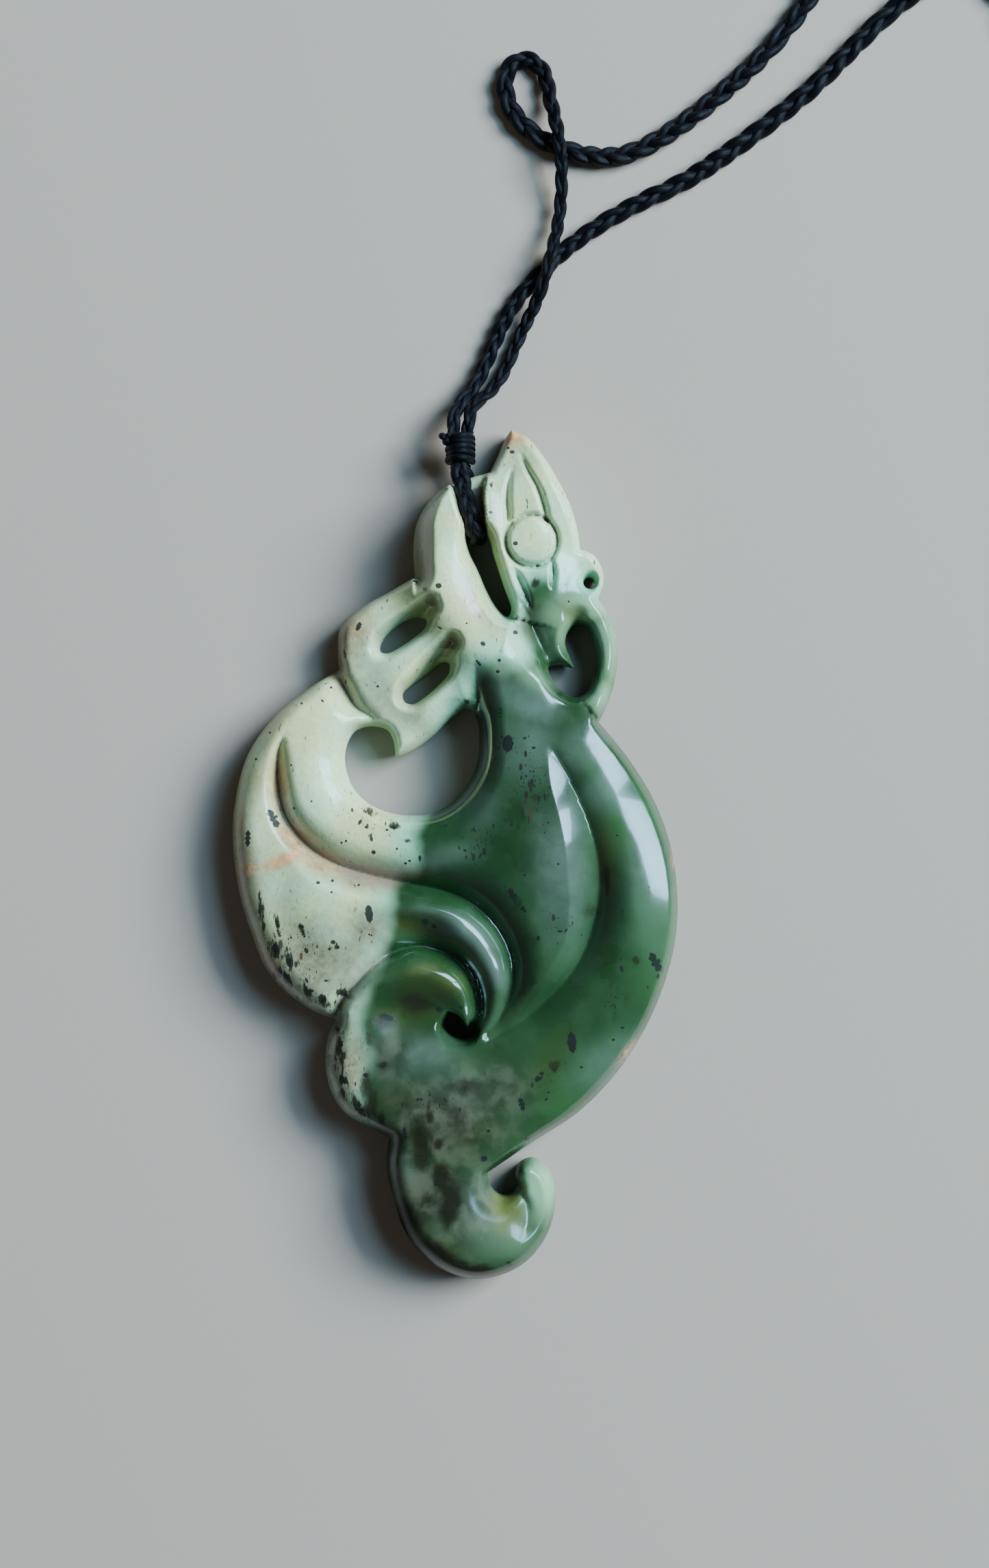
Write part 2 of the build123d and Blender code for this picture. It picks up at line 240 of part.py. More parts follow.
# dark spots; columns: across, up (percent), half_long, half_short (percent of HEIGHT), turn (degrees)
SPOTS = [
    (61.9, 97.6, 0.16, 0.12, 0), (62.8, 97.1, 0.25, 0.18, 0), (58.0, 89.7, 0.20, 0.15, 0),
    (57.6, 89.0, 0.15, 0.12, 0), (63.5, 86.1, 0.25, 0.20, 0), (68.5, 83.7, 0.20, 0.12, 0),
    (76.0, 89.0, 0.18, 0.12, 0), (74.7, 81.5, 0.12, 0.10, 0), (75.4, 79.5, 0.10, 0.10, 0),
    (43.4, 80.8, 0.22, 0.20, 0), (46.5, 81.1, 0.30, 0.25, 0), (28.5, 76.6, 0.45, 0.22, 65),
    (25.1, 73.4, 0.45, 0.20, 100), (56.3, 74.4, 0.26, 0.20, -30), (63.5, 75.8, 0.25, 0.20, 0),
    (52.7, 76.8, 0.10, 0.10, 0), (46.8, 76.3, 0.25, 0.08, -30), (55.3, 72.2, 0.35, 0.10, -50),
    (59.9, 72.5, 0.18, 0.15, 0), (59.6, 71.2, 0.20, 0.15, 0), (80.0, 76.3, 0.30, 0.10, 115),
    (21.1, 70.0, 0.12, 0.12, 0), (22.3, 69.5, 0.14, 0.12, 0), (20.5, 67.9, 0.20, 0.10, -40),
    (15.9, 67.6, 0.12, 0.12, 0), (25.5, 70.2, 0.25, 0.10, 100), (32.8, 69.6, 0.15, 0.12, 0),
    (43.8, 68.3, 0.20, 0.18, 0), (8.8, 64.2, 0.15, 0.12, 0), (5.7, 61.1, 0.12, 0.12, 0),
    (13.7, 60.4, 0.10, 0.10, 0), (8.3, 56.2, 0.55, 0.20, -60), (14.2, 55.4, 0.15, 0.10, -40),
    (3.9, 54.3, 0.50, 0.17, 85), (18.2, 56.2, 0.10, 0.10, 0), (29.9, 55.6, 0.35, 0.20, -30),
    (28.4, 56.4, 0.20, 0.12, -30), (34.0, 54.8, 0.40, 0.22, -15), (29.0, 53.8, 0.30, 0.15, 60),
    (30.3, 53.2, 0.12, 0.12, 0), (36.5, 53.2, 0.25, 0.18, 0), (35.0, 52.9, 0.15, 0.12, 0),
    (38.2, 54.1, 0.12, 0.12, 0), (24.9, 51.4, 0.12, 0.12, 0), (25.9, 51.6, 0.12, 0.12, 0),
    (32.0, 50.3, 0.22, 0.20, 0), (37.2, 50.7, 0.12, 0.12, 0), (39.1, 49.0, 0.15, 0.12, 0),
    (40.0, 49.3, 0.13, 0.12, 0), (42.3, 49.6, 0.30, 0.12, 90), (19.8, 46.8, 0.20, 0.15, 0),
    (22.9, 47.0, 0.14, 0.14, 0), (28.7, 46.5, 0.12, 0.12, 0), (22.8, 45.7, 0.12, 0.12, 0),
    (31.1, 43.2, 0.85, 0.35, 95), (43.4, 42.2, 0.35, 0.30, 0), (45.3, 41.7, 0.30, 0.20, -30),
    (31.1, 40.8, 0.10, 0.10, 0), (31.6, 40.7, 0.10, 0.10, 0), (16.1, 41.7, 0.25, 0.18, 0),
    (16.6, 40.8, 0.35, 0.12, -75), (13.7, 40.4, 0.12, 0.12, 0), (17.1, 38.9, 0.30, 0.20, 110),
    (23.1, 39.9, 0.25, 0.20, 0), (24.2, 39.3, 0.15, 0.15, 0), (22.3, 39.1, 0.15, 0.15, 0),
    (10.6, 42.0, 0.40, 0.12, -75), (11.0, 40.9, 0.40, 0.15, -70), (10.2, 39.1, 0.50, 0.30, -80),
    (13.3, 37.7, 0.35, 0.25, 0), (10.8, 35.9, 0.30, 0.25, 0), (12.5, 35.6, 0.60, 0.25, -70),
    (25.1, 33.8, 0.40, 0.25, -30), (21.5, 35.4, 0.20, 0.10, 0), (17.2, 35.4, 0.25, 0.12, -60),
    (18.2, 34.2, 0.25, 0.15, 0), (21.1, 33.2, 0.30, 0.15, 60), (17.5, 33.0, 0.30, 0.20, 0),
    (61.8, 62.9, 0.80, 0.50, 90), (60.1, 66.4, 0.50, 0.10, 85), (65.5, 63.5, 0.20, 0.10, 0),
    (67.5, 62.4, 0.20, 0.12, 0), (72.9, 58.2, 0.20, 0.14, 80), (62.6, 53.5, 0.13, 0.13, 0),
    (65.5, 47.7, 0.12, 0.12, 0), (58.3, 47.5, 0.12, 0.12, 0), (63.1, 45.2, 1.00, 0.28, -60),
    (65.0, 43.9, 0.60, 0.20, -50), (68.5, 40.4, 0.25, 0.15, 80), (73.4, 41.2, 0.20, 0.10, 0),
    (74.7, 41.3, 0.20, 0.10, 60), (87.2, 43.4, 0.35, 0.08, 100), (94.6, 37.5, 1.10, 0.40, -60),
    (95.2, 35.9, 0.30, 0.15, 80), (87.0, 36.8, 0.30, 0.18, 100), (86.9, 37.9, 0.12, 0.12, 0),
    (92.8, 34.7, 0.10, 0.10, 0), (85.9, 52.3, 0.10, 0.10, 0), (93.1, 46.3, 0.12, 0.12, 0),
    (47.1, 54.7, 0.35, 0.20, 0), (48.0, 53.4, 0.20, 0.15, 0), (52.4, 50.5, 0.12, 0.12, 0),
    (55.7, 49.9, 0.30, 0.10, 60), (61.6, 50.6, 0.20, 0.08, 80), (72.9, 49.0, 0.10, 0.10, 0),
    (39.9, 33.5, 0.20, 0.15, 0), (41.5, 33.7, 0.15, 0.12, 0), (46.5, 32.0, 0.35, 0.20, 0),
    (51.4, 32.2, 0.20, 0.15, 0), (54.3, 28.4, 0.35, 0.30, 0), (35.3, 31.0, 0.50, 0.25, -20),
    (41.9, 21.7, 0.18, 0.15, 0), (44.5, 22.2, 0.12, 0.12, 0), (42.6, 21.7, 0.15, 0.12, 0),
    (48.1, 21.5, 0.12, 0.12, 0), (39.0, 17.7, 0.60, 0.18, -80), (30.2, 24.4, 0.25, 0.20, 0),
    (57.5, 18.0, 0.18, 0.15, 0), (56.6, 14.8, 0.30, 0.25, 0), (66.0, 16.9, 0.25, 0.20, 0),
    (64.9, 21.1, 0.65, 0.25, -75), (68.7, 24.2, 0.50, 0.25, 40), (69.3, 24.7, 0.25, 0.15, 0),
    (76.0, 28.3, 1.00, 0.40, -85), (78.1, 25.4, 0.15, 0.12, 0), (85.2, 28.6, 0.15, 0.12, 0),
    (92.5, 31.0, 0.25, 0.20, 0), (87.2, 30.0, 0.20, 0.10, 0), (76.4, 20.1, 0.25, 0.20, 0),
    (70.3, 21.7, 0.20, 0.10, 40), (70.8, 22.5, 0.15, 0.10, 0), (87.5, 25.5, 0.30, 0.15, 20),
    (86.6, 24.3, 0.15, 0.12, 0), (62.2, 2.3, 0.35, 0.14, -60), (63.9, 1.4, 0.15, 0.12, 0),
    (24.2, 29.2, 0.50, 0.20, -80), (24.6, 28.2, 0.50, 0.20, -75), (22.5, 25.8, 0.60, 0.15, -70),
    (23.4, 26.3, 0.30, 0.10, -60), (25.1, 23.9, 0.50, 0.20, -60), (24.8, 22.0, 0.40, 0.20, -70),
    (29.4, 20.3, 0.90, 0.20, -70),
]
SPOT_MARGIN = 1.5        # the ring where a spot has faded out, in spot sizes

EYE_GROOVE = (12, 0.9)   # deep (percent of THICKNESS), wide (percent of WIDTH)

# The becket's seat, cut level into the web between the neck and the head.
# columns: across, up (percent), left, right (half widths, percent of WIDTH)
CORD_SEAT = [
    (52.9, 95.7, 4.6, 4.4), (53.2, 94.0, 4.3, 4.8), (53.8, 91.6, 3.0, 4.2), (54.5, 89.6, 2.5, 3.7),
    (55.2, 87.6, 2.2, 2.6)]
SEAT_FLOOR = 0.75        # share of the half width that is level

# Broad swellings and hollows, each an oval.
# columns: across, up (percent), half_across, half_up (percent of WIDTH), turn (degrees),
# rise (percent of THICKNESS)
SWELLINGS = [
    (42.5, 41.6, 10.0, 4.6, 0, -14),
    (41.0, 31.6, 13.5, 9.5, 10, -16),
    (71.5, 50.0, 9.0, 24.0, 0, 2),
    (57.5, 10.2, 7.0, 7.0, 0, -9),
    (77.0, 77.9, 3.4, 3.0, 20, -7),
    (52.3, 9.5, 12.0, 14.0, 0, 6),
]

# Parts of the stone with fine carving. columns: across and up, low and high (percent)
FINE_CARVING = [(57.0, 84.0, 66.0, 100.0), (30.0, 64.0, 28.5, 41.0)]

# The becket, from the whipping down over the web, through the slot and up behind it.
# columns: across, up (percent), level (0 on the back's level, 1 on the front's)
BECKET_ROUTE = [(51.6, 93.0, 1.0), (55.0, 86.8, 1.0), (55.0, 86.8, 0.0), (52.7, 93.4, 0.0)]
BECKET_SPLAY = 0.25      # how far each leg enters the whipping from its middle line

# The neck cord's route, from the middle of the whipping's top end. It leaves on the right, crosses over
# itself twice, turns in a narrow loop, runs off to the upper right, lies as one open bend beside the
# stone, comes back along the same way and enters the whipping on the left.
# columns: right, up (mm from the whipping's end), z (mm above the surface)
CORD_ROUTE = [
    (1.6, 3.6, 2.55), (3.3, 4.9, 1.5), (4.9, 7.2, 0.9), (6.0, 9.9, 0.85),
    (7.25, 12.6, 0.95), (8.6, 15.2, 1.7), (9.5, 17.6, 2.6), (10.3, 20.8, 2.6), (11.0, 23.8, 1.5),
    (11.4, 27.0, 1.3), (11.4, 30.7, 2.55), (10.9, 34.8, 2.55), (10.1, 38.2, 1.1), (9.6, 41.5, 0.85),
    (7.4, 43.2, 0.85), (5.1, 41.8, 0.85), (5.0, 38.8, 0.85), (6.1, 36.4, 0.85),
    (8.1, 34.4, 0.85), (11.0, 32.8, 0.85), (14.4, 31.8, 0.85), (17.9, 31.7, 0.85), (21.3, 33.0, 0.85),
    (25.2, 35.5, 0.85), (29.4, 38.8, 0.85), (33.5, 42.4, 0.85), (37.3, 46.6, 0.85), (41.4, 52.6, 0.85),
    (47.4, 60.4, 0.85), (54.8, 68.4, 0.85), (63.4, 74.8, 0.85), (73.4, 78.6, 0.85), (82.8, 76.0, 0.85),
    (89.0, 67.6, 0.85), (91.4, 54.0, 0.85), (91.2, 35.0, 0.85), (90.4, 15.0, 0.85), (91.0, -6.0, 0.85),
    (90.4, -27.0, 0.85), (90.8, -48.0, 0.85), (90.4, -68.0, 0.85), (88.4, -85.0, 0.85), (81.8, -95.6, 0.85),
    (72.4, -95.8, 0.85), (65.6, -86.0, 0.85), (63.9, -70.0, 0.85), (64.1, -51.0, 0.85), (63.4, -31.0, 0.85),
    (64.0, -10.0, 0.85), (63.5, 10.0, 0.85), (64.3, 26.0, 0.85), (64.6, 38.0, 0.85), (64.0, 46.0, 0.85),
    (61.2, 51.4, 0.85), (56.8, 53.2, 0.85), (52.6, 51.2, 0.85), (48.6, 48.2, 0.85), (44.6, 44.3, 0.85),
    (40.3, 39.9, 0.85), (35.4, 35.9, 0.85), (30.6, 32.4, 0.85), (25.6, 29.0, 0.85), (20.4, 26.7, 0.85),
    (15.7, 24.1, 0.85), (11.7, 21.2, 0.85), (8.3, 17.9, 0.85), (5.6, 14.6, 0.85), (3.9, 11.0, 0.85),
    (2.6, 7.7, 0.95), (1.2, 5.0, 1.7), (-0.25, 3.4, 2.65),
]

ARC_SHARE = 0.45         # of the shorter run beside a corner, that its arc takes


def place(across, up):
    """Percent of the width and height to millimetres from the middle of the stone."""
    return (across / 100 - 0.5) * WIDTH, (up / 100 - 0.5) * HEIGHT


def in_millimetres(rows):
    return [(*place(row[0], row[1]), *row[2:]) for row in rows]


def wide(percent):
    return percent / 100 * WIDTH


def tall(percent):
    return percent / 100 * THICKNESS


def smooth_line(rows, steps=CURVE_STEPS):
    """A smooth line through rows of x and y, which carries any other columns along."""
    rows = np.array(rows, float)
    if len(rows) < 3:
        return rows
    closed = np.allclose(rows[0, :2], rows[-1, :2])
    before = rows[-2] if closed else 2 * rows[0] - rows[1]
    after = rows[1] if closed else 2 * rows[-1] - rows[-2]
    knots = np.vstack([before, rows, after])
    line = []
    for a, b, c, d in zip(knots, knots[1:], knots[2:], knots[3:]):
        ab, bc, cd = (math.sqrt(math.dist(p[:2], q[:2])) for p, q in ((a, b), (b, c), (c, d)))
        leave = (b - a) / ab - (c - a) / (ab + bc) + (c - b) / bc
        reach = (c - b) / bc - (d - b) / (bc + cd) + (d - c) / cd
        for t in np.arange(steps) / steps:
            line.append((2 * t**3 - 3 * t**2 + 1) * b + (3 * t**2 - 2 * t**3) * c
                        + (t**3 - 2 * t**2 + t) * leave * bc + (t**3 - t**2) * reach * bc)
    return np.vstack([line, rows[-1]])


def even_points(line, step):
    """The line's points at equal distances of about one step, with both ends."""
    lengths = np.hypot(*np.diff(line[:, :2], axis=0).T)
    along = np.concatenate([[0], np.cumsum(lengths)])
    count = max(1, round(along[-1] / step))
    stops = np.linspace(0, along[-1], count + 1)
    return np.column_stack([np.interp(stops, along, column) for column in line.T])


def closed_loop(stretches, step):
    """One closed outline from its stretches, each smooth between two sharp corners."""
    parts = [even_points(smooth_line(in_millimetres(rows)), step)[:-1] for rows in stretches]
    return np.vstack(parts)


def ear_hole():
    x, y = place(*EAR_HOLE)
    count = round(2 * math.pi * EAR_HOLE_RADIUS / SMALL_EDGE_STEP * 2)
    turns = np.linspace(0, 2 * math.pi, count, endpoint=False)
    return np.column_stack([x + EAR_HOLE_RADIUS * np.cos(turns), y + EAR_HOLE_RADIUS * np.sin(turns)])


def outlines():
    """The stone's outer loop and the loops of its openings."""
    loops = [closed_loop(OUTLINE.values(), EDGE_STEP)]
    for name, stretches in OPENINGS.items():
        loops.append(closed_loop(stretches, EDGE_STEP if name == "great_opening" else SMALL_EDGE_STEP))
    return loops + [ear_hole()]


def depth_inside(points, loops):
    """Distance to the nearest outline, positive in the stone and negative outside it."""
    nearest = np.full(len(points), np.inf)
    crossings = np.zeros(len(points), int)
    for loop in loops:
        for a, b in zip(loop, np.roll(loop, -1, axis=0)):
            run = b - a
            share = np.clip((points - a) @ run / (run @ run), 0, 1)
            gap = points - a - share[:, None] * run
            nearest = np.minimum(nearest, np.hypot(gap[:, 0], gap[:, 1]))
            if a[1] != b[1]:
                spans = (a[1] > points[:, 1]) != (b[1] > points[:, 1])
                crossings += spans & (points[:, 0] < a[0] + (points[:, 1] - a[1]) / run[1] * run[0])
    return np.where(crossings % 2 == 1, nearest, -nearest)


def along_line(points, line):
    """Distance of points to an open line, whether they lie on its left, and its other columns there."""
    nearest = np.full(len(points), np.inf)
    left = np.zeros(len(points), bool)
    carried = np.zeros((len(points), line.shape[1] - 2))
    for a, b in zip(line, line[1:]):
        run = (b - a)[:2]
        share = np.clip((points - a[:2]) @ run / (run @ run), 0, 1)
        gap = points - a[:2] - share[:, None] * run
        distance = np.hypot(gap[:, 0], gap[:, 1])
        closer = distance < nearest
        nearest[closer] = distance[closer]
        left[closer] = run[0] * gap[closer, 1] > run[1] * gap[closer, 0]
        carried[closer] = a[2:] + share[closer, None] * (b - a)[2:]
    return nearest, left, carried


def flank(share, shape, floor=0.0):
    """How deep a cut is, at a share of its flank's width from its line."""
    rest = np.clip((1 - share) / (1 - floor), 0, 1)
    if shape == ROUND:
        return (1 - np.sqrt(1 - (ROUND_SHARE * rest) ** 2)) / (1 - math.sqrt(1 - ROUND_SHARE ** 2))
    return rest ** shape


def blank(points):
    """Thickness of the stone before it is carved, and the width of its rounded edge."""
    weights = np.zeros(len(points))
    thickness = np.zeros(len(points))
    rounding = np.zeros(len(points))
    for across, up, thick, rounded in STATIONS:
        gap = points - np.array(place(across, up))
        weight = 1 / ((gap**2).sum(axis=1) + wide(STATION_REACH) ** 2) ** 2
        weights += weight
        thickness += weight * tall(thick)
        rounding += weight * wide(rounded)
    return thickness / weights, rounding / weights


def carve(points, face):
    """Cut the hollows, grooves, bevels, seat and eye into the face, in place."""
    for across, up, half_across, half_up, turn, rise in SWELLINGS:
        gap = points - np.array(place(across, up))
        c, s = math.cos(math.radians(turn)), math.sin(math.radians(turn))
        u = (gap[:, 0] * c + gap[:, 1] * s) / wide(half_across)
        v = (gap[:, 1] * c - gap[:, 0] * s) / wide(half_up)
        face += tall(rise) * np.clip(1 - u * u - v * v, 0, None) ** 2
    for left_shape, right_shape, rows in CUTS.values():
        distance, left, (deep, left_flank, right_flank) = unpack(along_line(points, smooth_line(
            in_millimetres(rows))))
        face -= tall(deep) * np.where(left, flank(distance / wide(left_flank), left_shape),
                                      flank(distance / wide(right_flank), right_shape))
    from_eye = np.hypot(*(points - np.array(place(*EYE))).T)
    face -= tall(EYE_GROOVE[0]) * flank(np.abs(from_eye - EYE_RADIUS) / wide(EYE_GROOVE[1]), 1.2)
    face += EYE_RISE * np.sqrt(np.clip(1 - (from_eye / EYE_RADIUS) ** 2, 0, None))
    distance, left, (left_half, right_half) = unpack(along_line(points, smooth_line(
        in_millimetres(CORD_SEAT))))
    level = flank(distance / wide(np.where(left, left_half, right_half)), 1.0, SEAT_FLOOR)
    face += level * np.minimum(WEB_FRONT - face, 0)


def unpack(found):
    distance, left, carried = found
    return distance, left, carried.T


def heights(points, inside):
    """Height of the carved face over the flat back, with its edge rounded down to the waist."""
    face, rounding = blank(points)
    carve(points, face)
    waist = WAIST * face
    rise = np.sqrt(1 - (1 - np.clip(inside / rounding, 0, 1)) ** 2)
    return waist + (face - waist) * rise


def inward_rows(loop, loops, offset):
    """A row of points that runs beside an outline, at one distance inside the stone."""
    run = np.roll(loop, -1, axis=0) - np.roll(loop, 1, axis=0)
    normal = np.column_stack([run[:, 1], -run[:, 0]]) / np.hypot(run[:, 0], run[:, 1])[:, None]
    row = np.vstack([loop + offset * normal, loop - offset * normal])
    return row[depth_inside(row, loops) > 0.93 * offset]


def groove_points():
    """Points along each groove's line and at the foot of its narrow flanks."""
    rows = []
    for _, _, table in CUTS.values():
        line = even_points(smooth_line(in_millimetres(table)), GROOVE_STEP)
        run = np.gradient(line[:, :2], axis=0)
        normal = np.column_stack([-run[:, 1], run[:, 0]]) / np.hypot(run[:, 0], run[:, 1])[:, None]
        rows += [line[:, :2], line[:, :2] + normal * wide(line[:, 3:4]), line[:, :2] - normal * wide(line[:, 4:5])]
    x, y = place(*EYE)
    for radius in (EYE_RADIUS - wide(EYE_GROOVE[1]), EYE_RADIUS, EYE_RADIUS + wide(EYE_GROOVE[1])):
        turns = np.linspace(0, 2 * math.pi, round(2 * math.pi * EYE_RADIUS / FINE_GRID_STEP), endpoint=False)
        rows.append(np.column_stack([x + radius * np.cos(turns), y + radius * np.sin(turns)]))
    return np.vstack(rows)


def grid_points(step, low, high):
    """Points in staggered rows that fill a box."""
    rows = []
    for k, y in enumerate(np.arange(low[1], high[1], step * math.sqrt(0.75))):
        x = np.arange(low[0] + (k % 2) * step / 2, high[0], step)
        rows.append(np.column_stack([x, np.full(len(x), y)]))
    return np.vstack(rows)


def keep_apart(kept, more, gap):
    """Add those of the new points that keep a gap to every point before them."""
    for point in more:
        if np.min(np.hypot(*(kept - point).T)) > gap:
            kept = np.vstack([kept, point])
    return kept


def facet_points(loops):
    """All the points that the stone's face is faceted through: the outlines first, in order."""
    points = np.vstack(loops)
    for offset in EDGE_ROWS:
        for loop in loops:
            points = keep_apart(points, inward_rows(loop, loops, offset), 0.8 * min(offset, SMALL_EDGE_STEP))
    grooves = groove_points()
    grooves = grooves[depth_inside(grooves, loops) > EDGE_ROWS[0] * 2]
    points = keep_apart(points, grooves, NEAREST * SMALL_EDGE_STEP)
    for left, right, low, high in FINE_CARVING:
        fine = grid_points(FINE_GRID_STEP, place(left, low), place(right, high))
        fine = fine[depth_inside(fine, loops) > EDGE_ROWS[1]]
        points = keep_apart(points, fine, NEAREST * FINE_GRID_STEP)
    coarse = grid_points(GRID_STEP, place(0, 0), place(100, 100))
    coarse = coarse[depth_inside(coarse, loops) > EDGE_ROWS[1] * 1.3]
    return keep_apart(points, coarse, NEAREST * GRID_STEP)


def pendant():
    """The carved stone: a faceted face, walls straight down from its waist, and one flat back."""
    loops = outlines()
    flat = facet_points(loops)
    triangles = Delaunay(flat).simplices
    middles = flat[triangles].mean(axis=1)
    triangles = triangles[depth_inside(middles, loops) > 0]
    inside = np.maximum(depth_inside(flat, loops), 0)
    inside[:sum(len(loop) for loop in loops)] = 0
    top = [Vector(x, y, z) for (x, y), z in zip(flat, heights(flat, inside))]
    faces = [Face(Wire.make_polygon([top[i] for i in triangle], close=True)) for triangle in triangles]
    start = 0
    rims = []
    for loop in loops:
        ring = top[start:start + len(loop)]
        foot = [Vector(p.X, p.Y, 0) for p in ring]
        for i, j in zip(range(len(ring)), [*range(1, len(ring)), 0]):
            faces.append(Face(Wire.make_polygon([ring[i], foot[i], foot[j], ring[j]], close=True)))
        rims.append(Wire.make_polygon(foot, close=True))
        start += len(loop)
    faces.append(Face(rims[0], rims[1:]))
    return Solid(Shell(faces)) - cord_channel()


def levels():
    """Heights of the becket's middle line behind the web and in front of it."""
    back = SEAT_GAP + BECKET_DIAMETER / 2
    return back, WEB_FRONT + SEAT_GAP + BECKET_DIAMETER / 2


def cord_channel():
    """What the becket's way needs cut away: round the becket, and open to the stone's back behind the web."""
    radius = BECKET_DIAMETER / 2 + PASSAGE_GAP
    passage = bent_tube(becket_points(), 2 * radius)
    back, front = levels()
    behind = [Vector(*place(across, up)) for across, up, level in BECKET_ROUTE if level == 0]
    run = behind[1] - behind[0]
    plane = Plane(origin=behind[0], x_dir=run, z_dir=(0, 0, 1))
    trough = Box(run.length + BECKET_DIAMETER, 2 * radius, 2 * back, align=(Align.MIN, Align.CENTER, Align.CENTER))
    hole = Pos(behind[0]) * Cylinder(radius, 2 * back)
    return passage + plane.location * trough + hole


def corner_radii(points):
    """The largest arc that the two runs beside each corner allow."""
    radii = []
    for a, b, c in zip(points, points[1:], points[2:]):
        turn = math.radians((b - a).get_angle(c - b))
        radii.append(ARC_SHARE * min((b - a).length, (c - b).length) / math.tan(turn / 2))
    return radii


def bent_tube(points, diameter):
    path = FilletPolyline(*points, radius=corner_radii(points))
    return sweep(Plane(origin=path @ 0, z_dir=path % 0) * Circle(diameter / 2), path=path)


def tube(name, points, diameter):
    """A cord's plain tube along straight runs joined by tangent arcs."""
    radii = corner_radii(points)
    length = FilletPolyline(*points, radius=radii).length
    solid = bent_tube(points, diameter)
    expected = math.pi * diameter**2 / 4 * length
    tightest = ", ".join(f"{radius:.1f}" for radius in sorted(radii)[:8])
    print(f"{name}: length {length:.1f} mm, volume {solid.volume / expected:.4f} of section x length")
    print(f"{name}: tightest radii {tightest} mm for a diameter of {diameter} mm")
    return solid


def whipping_foot():
    """Middle of the whipping's lower end, above the web's top edge."""
    seat, edge = place(CORD_SEAT[0][0], OUTLINE["web"][1][1])
    back, front = levels()
    return Vector(seat - WHIPPING_ASIDE, edge + WHIPPING_ABOVE_WEB, (back + front) / 2)


def becket_points():
    """The becket's corners, from its straight end in the whipping round to the other one."""
    back, front = levels()
    foot = whipping_foot()
    half = BECKET_DIAMETER / 2 + STRAND_GAP / 2
    ends = [foot + Vector(-BECKET_SPLAY, 0, half), foot + Vector(BECKET_SPLAY, 0, -half)]
    route = [Vector(*place(across, up), back + level * (front - back)) for across, up, level in BECKET_ROUTE]
    into = Vector(0, BECKET_DIAMETER, 0)
    return [ends[0] + into, ends[0], *route, ends[1], ends[1] + into]


def becket():
    loop = tube("becket", becket_points(), BECKET_DIAMETER)
    wrapped = Box(*[4 * BECKET_DIAMETER] * 3, align=(Align.CENTER, Align.MIN, Align.CENTER))
    return loop - Pos(whipping_foot()) * wrapped


def whipping():
    """Wraps of thin cord, with their end knot on the upper left."""
    foot = whipping_foot()
    deep = 2 * BECKET_DIAMETER + STRAND_GAP + SEAT_GAP
    oval = Plane(origin=foot, x_dir=(1, 0, 0), z_dir=(0, 1, 0)) * Ellipse(WHIPPING_WIDE / 2, deep / 2)
    wraps = extrude(oval, amount=WHIPPING_LONG)
    side = foot + Vector(-WHIPPING_WIDE / 2 + KNOT_DIAMETER / 6, WHIPPING_LONG - KNOT_DIAMETER / 2, deep / 4)
    return wraps + Pos(side) * Sphere(KNOT_DIAMETER / 2)


def neck_cord():
    top = whipping_foot() + Vector(0, WHIPPING_LONG, 0)
    half = Vector(CORD_DIAMETER / 2 + STRAND_GAP / 2, 0, 0)
    stub = Vector(0, STRAND_STUB, 0)
    route = [Vector(top.X + right, top.Y + up, z) for right, up, z in CORD_ROUTE]
    points = [top + half, top + half + stub, *route, top - half + stub, top - half]
    return tube("neck_cord", points, CORD_DIAMETER)


def main():
    os.makedirs("parts", exist_ok=True)
    for make in (pendant, becket, whipping, neck_cord):
        export_step(make(), f"parts/{make.__name__}.step")


main()
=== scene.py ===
import math

import bpy
import numpy as np
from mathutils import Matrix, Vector, kdtree
from mathutils.geometry import delaunay_2d_cdt


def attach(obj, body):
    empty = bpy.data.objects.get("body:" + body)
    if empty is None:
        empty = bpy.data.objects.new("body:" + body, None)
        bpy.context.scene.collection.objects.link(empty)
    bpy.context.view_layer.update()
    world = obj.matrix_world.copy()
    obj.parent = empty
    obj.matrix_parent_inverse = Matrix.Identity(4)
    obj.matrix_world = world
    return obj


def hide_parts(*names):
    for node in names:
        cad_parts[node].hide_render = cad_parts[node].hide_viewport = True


# A carved stone pendant with its plaited neck cord, lying on a pale table and seen from straight above.
# The frame is in metres; the tables are in millimetres or in percent of the stone's own sizes.

MM = 0.001

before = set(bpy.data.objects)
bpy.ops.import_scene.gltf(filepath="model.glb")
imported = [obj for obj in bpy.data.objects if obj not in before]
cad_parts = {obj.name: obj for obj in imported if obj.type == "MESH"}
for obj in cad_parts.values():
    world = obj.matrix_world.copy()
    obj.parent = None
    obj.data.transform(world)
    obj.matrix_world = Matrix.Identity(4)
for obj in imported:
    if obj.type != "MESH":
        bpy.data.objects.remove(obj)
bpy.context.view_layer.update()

# the stone
WIDTH = 50.0
HEIGHT = 95.6
THICKNESS = 9.0
WAIST = 0.42             # where the rounded edge is widest, as a share of the thickness there
WEB_FRONT = 4.7
EYE_RADIUS = 2.85
EYE_RISE = 0.8
EAR_HOLE_RADIUS = 0.62

# the cord
CORD_DIAMETER = 1.6
BECKET_DIAMETER = 2.1
SEAT_GAP = 0.1
PASSAGE_GAP = 0.08
WHIPPING_WIDE = 3.4
WHIPPING_LONG = 3.5
WHIPPING_ABOVE_WEB = 1.3
WHIPPING_ASIDE = 0.85
STRAND_GAP = 0.05
STRAND_STUB = 1.5
BECKET_SPLAY = 0.25

